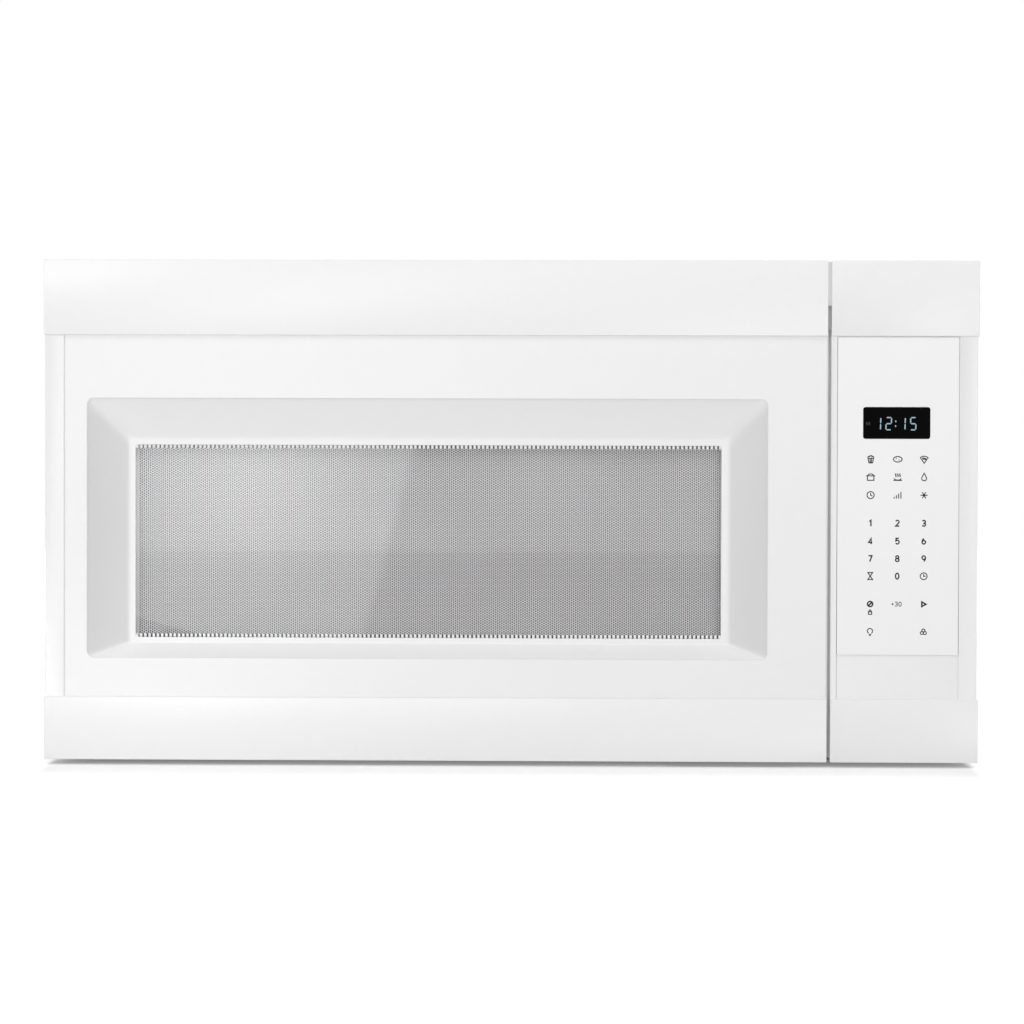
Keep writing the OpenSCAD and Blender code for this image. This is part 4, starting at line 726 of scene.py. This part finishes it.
def thicken(piece, name, thick):
    """Gives a surface a wall of thick millimetres behind its face."""
    wall = piece.modifiers.new(name, "SOLIDIFY")
    wall.thickness = thick * MM
    wall.offset = -1


# %% [markdown]
# The door's inset panel is one moulding: a rolled pull edge on the right, a flat face,
# slopes down to the window's rim, and a lip that turns in to the glass.
# Its left and right slopes are hollow, steep at the face and flat at the rim,
# and the upper and lower ones are plain bevels.
# It is made as loops from the rear edge to the lip. Each depth has its own loop,
# and each side's share of the slope's width at that depth comes from that side's own curve.

# %% Slope curves
CURVE_POINTS = 401
FLATTEST = 0.02
STEP_DEPTH = 0.09
STEP_WIDE = 0.03
SIDE_SKIP = 12
FLAT_SKIP = 16


def slope_curve(rise, fall, power):
    """Share of the width and share of the depth, point by point along a slope.

    The depth is a small step and the running total of a steepness that rises at the face,
    fades by a power and falls off at the rim.
    """
    width = np.linspace(0, 1, CURVE_POINTS)
    rising = np.clip(width / rise, FLATTEST, 1)
    falling = np.clip((1 - width) / fall, FLATTEST, 1)
    steepness = rising * falling * (1 + FLATTEST - width) ** power
    depth = np.concatenate([[0], np.cumsum((steepness[1:] + steepness[:-1]) / 2)])
    return width, STEP_DEPTH * np.clip(width / STEP_WIDE, 0, 1) + (1 - STEP_DEPTH) * depth / depth[-1]


side_width, side_depth = slope_curve(0.02, 0.08, 0.5)
flat_width, flat_depth = slope_curve(0.02, 0.10, 0.1)
depths = np.unique(np.round(np.concatenate([side_depth[::SIDE_SKIP], flat_depth[::FLAT_SKIP]]), 5))
print("slope loops", len(depths))

# %% [markdown]
# The panel's places were measured on the front, as left, right, low and high edges in millimetres:
# the recess at the face, the rim where its slopes end, and the opening in front of the glass.
# Every size below is in millimetres too.

# %% Places on the panel
PULL_EDGE = 1.7
RECESS = (-344.9, 209.5, 84.0, 296.0)
RIM = (-310.4, 176.6, 96.0, 261.7)
OPENING = (-307.4, 172.6, 100.1, 258.0)
RIM_FRONT = 0.7
LIP_FRONT = 0.05
panel_low, panel_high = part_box("door_panel")
glass_low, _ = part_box("door_glass")
PANEL = [side / MM for side in (panel_low[0], panel_high[0], panel_low[2], panel_high[2])]
PANEL[1] += PULL_EDGE
FACE_Y = panel_low[1] / MM
REAR_Y = panel_high[1] / MM
RIM_Y = glass_low[1] / MM - RIM_FRONT
LIP_Y = glass_low[1] / MM - LIP_FRONT
print("recess", round(RIM_Y - FACE_Y, 1), "mm deep")

# %% [markdown]
# The loops start at the rear edge and go round the outer edges on a quarter turn, which is wider
# at the pull edge. They cross the face, go down the slopes and end on a lip with a quarter turn of its own.
# Each corner has a radius that suits its loop, and the shares in ALONG crowd the points towards the corners.

# %% Door panel
ROLL = 3.0
ROLL_STEPS = 9
EDGE = 0.8
PANEL_RADIUS = 1.2
FACE_INSET = 2.0
PAST_ROLL = 1.0
FACE_RADIUS = 1.0
APRON = 1.5
APRON_RADIUS = 7.5
RECESS_RADIUS = 6.0
RIM_RADIUS = 4.0
LIP = 0.3
LIP_STEPS = 5
OPENING_RADIUS = 2.6
SHARP = 50
ALONG = (0.02, 0.04, 0.07, 0.11, 0.16, 0.3, 0.5, 0.7, 0.84, 0.89, 0.93, 0.96, 0.98)


def inset(box, left, right, low, high):
    """The box moved inwards by one amount on each side."""
    return box[0] + left, box[1] - right, box[2] + low, box[3] - high


loops = [round_loop(*PANEL, PANEL_RADIUS, REAR_Y, ALONG)]
for angle in np.linspace(0, np.pi / 2, ROLL_STEPS):
    edge = EDGE * (1 - np.cos(angle))
    roll = ROLL * (1 - np.cos(angle))
    y = FACE_Y + ROLL * (1 - np.sin(angle))
    loops.append(round_loop(*inset(PANEL, edge, roll, edge, edge), PANEL_RADIUS - edge / 2, y, ALONG))
face_box = inset(PANEL, FACE_INSET, ROLL + PAST_ROLL, FACE_INSET, FACE_INSET)
loops.append(round_loop(*face_box, FACE_RADIUS, FACE_Y, ALONG))
loops.append(round_loop(*inset(RECESS, -APRON, -APRON, -APRON, -APRON), APRON_RADIUS, FACE_Y, ALONG))
for depth in depths:
    wide = np.interp(depth, side_depth, side_width)
    tall = np.interp(depth, flat_depth, flat_width)
    slope_box = np.array(RECESS) + np.array([wide, wide, tall, tall]) * (np.array(RIM) - np.array(RECESS))
    radius = RECESS_RADIUS + depth * (RIM_RADIUS - RECESS_RADIUS)
    loops.append(round_loop(*slope_box, radius, FACE_Y + depth * (RIM_Y - FACE_Y), ALONG))
for angle in np.linspace(0, np.pi / 2, LIP_STEPS):
    edge = LIP * (1 - np.sin(angle))
    y = RIM_Y + LIP * (1 - np.cos(angle))
    loops.append(round_loop(*inset(OPENING, -edge, -edge, -edge, -edge), OPENING_RADIUS + edge, y, ALONG))
loops.append(round_loop(*OPENING, OPENING_RADIUS, LIP_Y, ALONG))
panel_points = np.concatenate(loops)
panel_quads = band_faces(len(loops), len(loops[0]))
panel = new_piece("door_panel_moulding", panel_points, panel_quads, "door", panel_abs)
panel.data.set_sharp_from_angle(angle=math.radians(SHARP))
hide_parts("door_panel")

# %% [markdown]
# The side slopes get the attribute that paints shade on them: it makes them greyer. A point has one share of
# the way down the nearer side slope and one down the nearer upper or lower slope, and it lies on the smaller
# one's slope.
# The painted shade fades over the mitre between them and before the rim. Then the surface gets its wall.

# %% Painted shade on the side slopes
MITRE_FADE = (-0.15, 0.28)
RIM_FADE = (0.86, 1.0)
SLACK = 0.01
BEHIND_FACE = 0.05
PANEL_WALL = 1.8


def smooth(value, low, high):
    """Share from 0 at low to 1 at high: three times its square less twice its cube."""
    share = np.clip((value - low) / (high - low), 0, 1)
    return 3 * share ** 2 - 2 * share ** 3


def down_slope(place, side):
    """Share of the way from the recess's edge to the rim on the nearer of two opposite sides."""
    shares = [(place - RECESS[i]) / (RIM[i] - RECESS[i]) for i in (side, side + 1)]
    return np.minimum(*shares)


point_x, point_y, point_z = panel_points.T
sideways = down_slope(point_x, 0)
upright = down_slope(point_z, 2)
inside = (sideways > -SLACK) & (upright > -SLACK) & (point_y > FACE_Y + BEHIND_FACE)
# How much painted shade each point gets.
shade_weight = inside * smooth(upright - sideways, *MITRE_FADE) * (1 - smooth(sideways, *RIM_FADE))
panel.data.attributes.new("slope_shade", "FLOAT", "POINT").data.foreach_set("value", shade_weight)
thicken(panel, "wall", PANEL_WALL)
print("flank points", int((shade_weight > 0.5).sum()))

# %% [markdown]
# The other mouldings keep their solids' shape. The mould rounds each edge by about half a millimetre,
# and that round is what catches the light, so each is a copy with a bevel.

# %% Rounded mouldings
WELD = 1e-6
FLAT_ANGLE = 0.5
ROUND_ANGLE = 40
ROUND_STEPS = 2
FRAME_ROUND = 0.5
FASCIA_ROUND = 0.45


def softened_copy(name, node, material, width):
    """A copy of a CAD node whose sharp edges are rounded by a bevel of width millimetres.

    Its loose triangles are merged first, and those in one plane are joined to whole faces.
    """
    source = nodes[node]
    mesh = source.data.copy()
    mesh.name = name
    work = bmesh.new()
    work.from_mesh(mesh)
    bmesh.ops.remove_doubles(work, verts=work.verts, dist=WELD)
    bmesh.ops.dissolve_limit(work, angle_limit=math.radians(FLAT_ANGLE), verts=work.verts, edges=work.edges)
    work.to_mesh(mesh)
    work.free()
    mesh.polygons.foreach_set("use_smooth", [True] * len(mesh.polygons))
    mesh.materials.clear()
    mesh.materials.append(material)
    piece = bpy.data.objects.new(name, mesh)
    bpy.context.scene.collection.objects.link(piece)
    bevel = piece.modifiers.new("rounded edges", "BEVEL")
    bevel.width = width * MM
    bevel.segments = ROUND_STEPS
    bevel.limit_method = "ANGLE"
    bevel.angle_limit = math.radians(ROUND_ANGLE)
    bevel.use_clamp_overlap = False
    bevel.harden_normals = True
    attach(piece, source["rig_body"])
    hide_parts(node)
    print(name, len(mesh.polygons), "faces before its bevel")
    return piece


softened_copy("door_frame_moulding", "door_frame", white_abs, FRAME_ROUND)
softened_copy("control_fascia_moulding", "control_fascia", white_abs, FASCIA_ROUND)

# %% [markdown]
# Behind the gap beside the door the fascia has a narrow ledge, which keeps the gap from looking black.
# It steps back from the top band to the bottom one, and starts further right along the panel,
# which reaches further than the bands. It is four blocks, given as their ranges of X, Y and Z in millimetres,
# and each is the eight corners of a box joined by six faces.

# %% Ledge behind the door gap
LEDGES = [
    ((257.6, 260.4), (-187.5, -180.0), (4.0, 47.0)),
    ((258.35, 260.4), (-188.2, -180.0), (47.0, 352.5)),
    ((257.6, 260.4), (-191.0, -180.0), (352.5, 371.6)),
    ((257.6, 260.4), (-193.6, -180.0), (371.6, 407.2)),
]
BOX_FACES = np.array([(0, 1, 3, 2), (4, 6, 7, 5), (0, 4, 5, 1), (2, 3, 7, 6), (0, 2, 6, 4), (1, 5, 7, 3)])
ledge_points = [np.stack(np.meshgrid(*sides, indexing="ij"), axis=-1).reshape(-1, 3) for sides in LEDGES]
ledge_faces = [BOX_FACES + 8 * number for number in range(len(LEDGES))]
ledge = new_piece("door_gap_ledge", np.concatenate(ledge_points), np.concatenate(ledge_faces), "case",
                  white_abs)
ledge.data.polygons.foreach_set("use_smooth", [False] * len(ledge.data.polygons))

# %% [markdown]
# Marks on the key film are screen-printed: an even coat of ink a few hundredths of a millimetre thick.
# Each mark is a set of strokes, and a stroke is a ribbon of constant width along a row of points,
# so one function draws every digit and sign, and its corners are mitred.
# All are written in millimetres across (X) and up (Z) from the middle of their key.

# %% Strokes
INK_THICK = 0.02
MITRE_LIMIT = 0.4


def arc(cx, cz, rx, rz, start, end, steps=14):
    """Points of an ellipse's arc: centre plus the radii times cosine and sine of the angle in degrees."""
    angle = np.radians(np.linspace(start, end, steps))
    return np.stack([cx + rx * np.cos(angle), cz + rz * np.sin(angle)], axis=1)


def ribbon(path, width, closed=False):
    """Two rows of points: each is moved to both sides by half the width over the half turn's cosine."""
    path = np.asarray(path, float)
    if closed and np.allclose(path[0], path[-1]):
        path = path[:-1]
    ahead = np.roll(path, -1, axis=0) - path
    if not closed:
        ahead[-1] = ahead[-2]
    ahead /= np.linalg.norm(ahead, axis=1, keepdims=True)
    behind = np.roll(ahead, 1, axis=0)
    if not closed:
        behind[0] = ahead[0]
    along = ahead + behind
    along /= np.linalg.norm(along, axis=1, keepdims=True)
    reach = width / 2 / np.clip((along * ahead).sum(axis=1), MITRE_LIMIT, 1)
    aside = np.stack([-along[:, 1], along[:, 0]], axis=1) * reach[:, None]
    count = len(path)
    here = np.arange(count if closed else count - 1)
    beside = (here + 1) % count
    quads = np.stack([here + count, beside + count, beside, here], axis=1)
    return np.concatenate([path + aside, path - aside]), quads


def upright_points(flat, y):
    """Points in space from points across and up, all on the plane y."""
    return np.stack([flat[:, 0], np.full(len(flat), y), flat[:, 1]], axis=1)


def print_marks(name, strokes, y, material, body="case", thick=INK_THICK):
    """One mesh of ribbons on the plane y, each given as centre, path, width and whether it is closed."""
    points = []
    faces = []
    count = 0
    for centre, path, width, closed in strokes:
        flat, quads = ribbon(path, width, closed)
        points.append(upright_points(flat + np.asarray(centre), y))
        faces.append(quads + count)
        count += len(flat)
    piece = new_piece(name, np.concatenate(points), np.concatenate(faces), body, material)
    thicken(piece, "ink", thick)
    return piece


# %% [markdown]
# The digits are plain upright ones, 5 mm tall, made of straight lines and elliptical arcs.

# %% Digits
LINE = 1.1


def oval(cx, cz, rx, rz, steps=28):
    """A whole ellipse: an arc of 360 degrees."""
    return arc(cx, cz, rx, rz, 0, 360, steps)


DIGITS = {
    "0": [oval(0, 0, 1.35, 2.3)],
    "1": [[(-0.9, 1.4), (0.35, 2.3), (0.35, -2.55)]],
    "2": [np.concatenate([arc(0, 1.05, 1.3, 1.25, 165, -30), [(-1.35, -2.3), (1.5, -2.3)]])],
    "3": [np.concatenate([arc(-0.05, 1.15, 1.25, 1.15, 150, -80), arc(-0.05, -1.1, 1.4, 1.2, 80, -155)])],
    "4": [[(0.6, -2.55), (0.6, 2.1), (-1.45, -1.1), (1.55, -1.1)]],
    "5": [np.concatenate([[(1.25, 2.3), (-0.95, 2.3), (-1.15, 0.2)], arc(0, -0.8, 1.4, 1.5, 125, -150)])],
    "6": [oval(0, -0.85, 1.35, 1.45), arc(1.35, -0.6, 2.7, 3.1, 178, 118)],
    "7": [[(-1.5, 2.3), (1.3, 2.3), (-0.45, -2.55)]],
    "8": [oval(0, 1.2, 1.15, 1.1, 24), oval(0, -1.1, 1.4, 1.2, 24)],
    "9": [oval(0, 0.85, 1.35, 1.45), arc(-1.35, 0.6, 2.7, 3.1, -2, -62)],
}


def is_loop(path):
    """Whether a path ends where it began."""
    return bool(np.allclose(path[0], path[-1], atol=1e-6))


def placed(paths, centre, width=LINE, scale=1.0):
    """Paths as strokes about a centre, with closed ones marked."""
    return [(centre, np.asarray(path) * scale, width, is_loop(path)) for path in paths]


COLUMNS = (292.2, 314.0, 335.4)
ROWS = {
    "foods": 247.4, "dishes": 232.9, "powers": 218.3, "123": 195.6, "456": 181.1, "789": 166.9, "zero": 152.7,
    "start": 130.0, "lock": 123.5, "lamp": 107.3,
}
strokes = placed(DIGITS["0"], (COLUMNS[1], ROWS["zero"]))
for row in ("123", "456", "789"):
    for column, digit in enumerate(row):
        strokes += placed(DIGITS[digit], (COLUMNS[column], ROWS[row]))
print("strokes in the digits", len(strokes))

# %% [markdown]
# The other keys carry plain line signs for what they do: foods, a pot, a steaming plate, a drop,
# a clock, power bars, a snowflake, a sandglass, a second clock, a lock, a lamp and a fan.
# A sign is named by its column and its row, and drawn about its own middle.

# %% Signs
FINE = 0.82
SIGN_SCALE = 1.3


def tipped(curve, tip):
    """A closed outline: a curve, a tip and the curve's first point again."""
    return np.concatenate([curve, [tip], curve[:1]])


FLAKE = 2.2
BLADE = 0.95
BLADE_OUT = 1.05
turns = np.radians(np.arange(0, 180, 60))
flakes = [[(-FLAKE * c, -FLAKE * s), (FLAKE * c, FLAKE * s)] for c, s in zip(np.cos(turns), np.sin(turns))]
blades = [oval(BLADE_OUT * np.cos(turn), BLADE_OUT * np.sin(turn), BLADE, BLADE, 14)
          for turn in np.radians([90, 210, 330])]
SIGNS = {
    (0, "foods"): [
        [(-1.7, 0.6), (1.7, 0.6), (1.1, -2.3), (-1.1, -2.3), (-1.7, 0.6)],
        [(-0.5, 0.6), (-0.35, -2.3)], [(0.5, 0.6), (0.35, -2.3)], arc(-1.1, 1.1, 0.7, 0.7, 200, 20),
        arc(0.1, 1.5, 0.8, 0.8, 170, 10), arc(1.2, 1.1, 0.7, 0.7, 160, -20)],
    (1, "foods"): [oval(0, 0, 2.7, 1.7), [(-1.2, 0.4), (-0.6, 0.6)], [(0.5, -0.5), (1.1, -0.3)]],
    (2, "foods"): [
        tipped(arc(0, 0.4, 2.5, 1.5, 160, 20), (0, -2.4)),
        oval(-0.5, 0.5, 0.45, 0.45, 12), oval(0.6, 0.2, 0.4, 0.4, 12)],
    (0, "dishes"): [
        [(-2.0, 0.8), (-2.0, -2.0), (2.0, -2.0), (2.0, 0.8)], [(-2.8, 0.8), (2.8, 0.8)],
        arc(0, 0.8, 1.7, 1.2, 180, 0)],
    (1, "dishes"): [
        [(-2.7, -2.0), (2.7, -2.0)], arc(0, -0.6, 2.3, 1.2, 190, 350),
        *[[(x, 0.1), (x + 0.4, 0.8), (x - 0.1, 1.5), (x + 0.3, 2.3)] for x in (-1.3, 0, 1.3)]],
    (2, "dishes"): [tipped(arc(0, -0.7, 1.5, 1.5, -205, 25), (0, 2.5))],
    (0, "powers"): [oval(0, 0, 2.2, 2.2), [(0, 1.4), (0, 0), (1.1, -0.6)]],
    (1, "powers"): [[(x, -2.1), (x, top)] for x, top in ((-2.1, -1.0), (-0.7, 0.0), (0.7, 1.0), (2.1, 2.1))],
    (2, "powers"): flakes,
    (0, "zero"): [[(-1.5, 2.2), (1.5, 2.2), (-1.5, -2.2), (1.5, -2.2), (-1.5, 2.2)]],
    (2, "zero"): [oval(0, 0, 2.1, 2.1), [(0, 1.4), (0, 0), (1.2, 0)]],
    (0, "lock"): [
        [(-1.0, 0.2), (1.0, 0.2), (1.0, -1.4), (-1.0, -1.4), (-1.0, 0.2)], arc(0, 0.2, 0.65, 1.2, 180, 0)],
    (0, "lamp"): [
        arc(0, 0.6, 1.6, 1.6, -60, 240, 24), [(-0.8, -1.5), (0.8, -1.5)], [(-0.5, -2.2), (0.5, -2.2)]],
    (2, "lamp"): blades,
}
for (column, row), paths in SIGNS.items():
    strokes += placed(paths, (COLUMNS[column], ROWS[row]), FINE, SIGN_SCALE)
print("strokes with the signs", len(strokes))

# %% [markdown]
# The row of the start key has bolder signs for stop and start, and a thin plus 30 between them.
# All strokes then become one piece of ink, which stands just in front of the film.

# %% Start row and print
BOLD = 1.25
THIN = 0.62
PLUS_WIDE = 0.6
SMALL = 0.75
INK_FRONT = 0.025
STOP = [oval(0, 0, 2.1, 2.1), [(-1.4, -1.4), (1.4, 1.4)]]
START = [[(-1.4, 1.9), (1.9, 0), (-1.4, -1.9), (-1.4, 1.9)]]
PLUS = [[(-0.9, 0), (0.9, 0)], [(0, -0.9), (0, 0.9)]]
START_ROW = (
    (STOP, COLUMNS[0], BOLD, 1.0), (START, COLUMNS[2], BOLD, 1.0), (PLUS, COLUMNS[1] - 3.6, PLUS_WIDE, 1.0),
    (DIGITS["3"], COLUMNS[1] - 0.7, THIN, SMALL), (DIGITS["0"], COLUMNS[1] + 2.4, THIN, SMALL),
)
for paths, across, width, scale in START_ROW:
    strokes += placed(paths, (across, ROWS["start"]), width, scale)
film_low, film_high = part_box("key_film")
print_marks("key_legends", strokes, film_low[1] / MM - INK_FRONT, print_ink)

# %% [markdown]
# The window glass has a border of white ceramic ink, fired into it, whose inner edge is a row of teeth.
# A tooth is a short upright stroke, one for every two columns of holes in the screen behind it.

# %% Comb on the window
TOOTH_WIDE = 2.1
TOOTH_TALL = 3.0
TOOTH_ROOT = 0.3
TEETH_BESIDE = 69
FRIT_THICK = 0.015
FRIT_FRONT = 0.02
frit = moulded("white ceramic frit on glass", "#F4F4F4", gloss=0.3, wave=4, grain=0.3, relief=0.001,
               shift=0.015)
tooth_step = 2 * COLUMN_STEP
teeth = []
for x in window_mid[0] + tooth_step * np.arange(-TEETH_BESIDE, TEETH_BESIDE + 1):
    for edge, upwards in ((OPENING[3], 1), (OPENING[2], -1)):
        path = [(0, edge + upwards * TOOTH_ROOT), (0, edge - upwards * TOOTH_TALL)]
        teeth.append(((x, 0), path, TOOTH_WIDE, False))
print_marks("window_comb", teeth, glass_low[1] / MM - FRIT_FRONT, frit, body="door",
            thick=FRIT_THICK)

# %% [markdown]
# Along both long edges of the film runs a hairline of grey, which is painted shade: it stands for the shadow
# in the gap between the film and its pocket. It goes on below the film, on the floor of the pocket,
# which lies 0.4 mm behind the film's back.

# %% Painted shade lines beside the film
HAIRLINE = 0.5
HAIR_X = (265.15, 363.6)
HAIR_FOOT = 53.5
POCKET_DEPTH = 0.4
ON_FILM = 0.4
BELOW_FILM = 0.2
# This grey is painted shade for the shadow in the gap beside the film.
gap_shade_ink = moulded("light grey painted gap shade", "#ACAEB0", gloss=0.5, wave=3, shift=0.05)
film_foot = film_low[2] / MM
film_top = film_high[2] / MM
pocket_y = film_high[1] / MM + POCKET_DEPTH
hairs = [((x, 0), [(0, film_foot + ON_FILM), (0, film_top)], HAIRLINE, False) for x in HAIR_X]
print_marks("film_gap_shade_lines", hairs, film_low[1] / MM - INK_FRONT, gap_shade_ink)
hairs = [((x, 0), [(0, HAIR_FOOT), (0, film_foot - BELOW_FILM)], HAIRLINE, False) for x in HAIR_X]
print_marks("pocket_gap_shade_lines", hairs, pocket_y - INK_FRONT, gap_shade_ink)

# %% [markdown]
# The clock shows a quarter past twelve. A digit has up to seven lit bars, each a bar with pointed ends,
# and the whole row leans over by a degree or so. The bars are named a to g as on any such display,
# and each digit is given by the place of its middle and the bars that are lit.
# A faint steam sign stands on the left of the digits; it is unlit, and its faint glow is painted light.

# %% Clock
BAR_WIDE = 0.95
BAR_GAP = 0.22
HALF_WIDE = 2.15
HALF_TALL = 4.95
SLANT = math.tan(math.radians(1.5))
CLOCK_Z = 276.2
COLON_LOW_X = 312.4
COLON_HIGH_X = 312.0
COLON_Z = (-1.9, 1.9)
DOT_HALF = 0.85
SEGMENT_FRONT = 0.03
SIGN_X = 289.8
SIGN_LINE = 0.4
ENDS = {
    "a": ((-1, 1), (1, 1)), "b": ((1, 1), (1, 0)), "c": ((1, 0), (1, -1)), "d": ((-1, -1), (1, -1)),
    "e": ((-1, 0), (-1, -1)), "f": ((-1, 1), (-1, 0)), "g": ((-1, 0), (1, 0)),
}
CLOCK = {297.9: "bc", 306.6: "abged", 317.7: "bc", 326.4: "afgcd"}


def bar(start, end, gap=BAR_GAP):
    """Six corners of a bar with pointed ends: its axis, drawn in by a gap, and half its width either way."""
    start = np.array(start, float)
    end = np.array(end, float)
    along = (end - start) / np.linalg.norm(end - start)
    across = np.array([along[1], -along[0]]) * BAR_WIDE / 2
    tip = along * BAR_WIDE / 2
    start = start + along * gap
    end = end - along * gap
    return np.stack([start, start + tip + across, end - tip + across,
                     end, end - tip - across, start + tip - across])


bars = [bar(*(np.array(ENDS[letter]) * (HALF_WIDE, HALF_TALL))) + (middle, 0)
        for middle, lit in CLOCK.items() for letter in lit]
for height in COLON_Z:
    bars.append(bar((COLON_LOW_X, height - DOT_HALF), (COLON_HIGH_X, height + DOT_HALF), gap=0))
lit_flat = np.concatenate(bars)
lit_flat[:, 0] += lit_flat[:, 1] * SLANT
lit_flat[:, 1] += CLOCK_Z
display_low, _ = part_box("display_window")
digit_y = display_low[1] / MM - SEGMENT_FRONT
lit_faces = np.arange(len(lit_flat)).reshape(-1, 6)
clock = new_piece("clock_digits", upright_points(lit_flat, digit_y), lit_faces, "case", lit_segment)
thicken(clock, "thickness", INK_THICK)
waves = [[(x, -1.3), (x + 0.5, -0.4), (x - 0.1, 0.5), (x + 0.4, 1.4)] for x in (-1.2, 0, 1.2)]
steam = placed(waves, (SIGN_X, CLOCK_Z), SIGN_LINE)
# The unlit sign, with its painted glow.
print_marks("clock_sign", steam, digit_y, faint_segment)
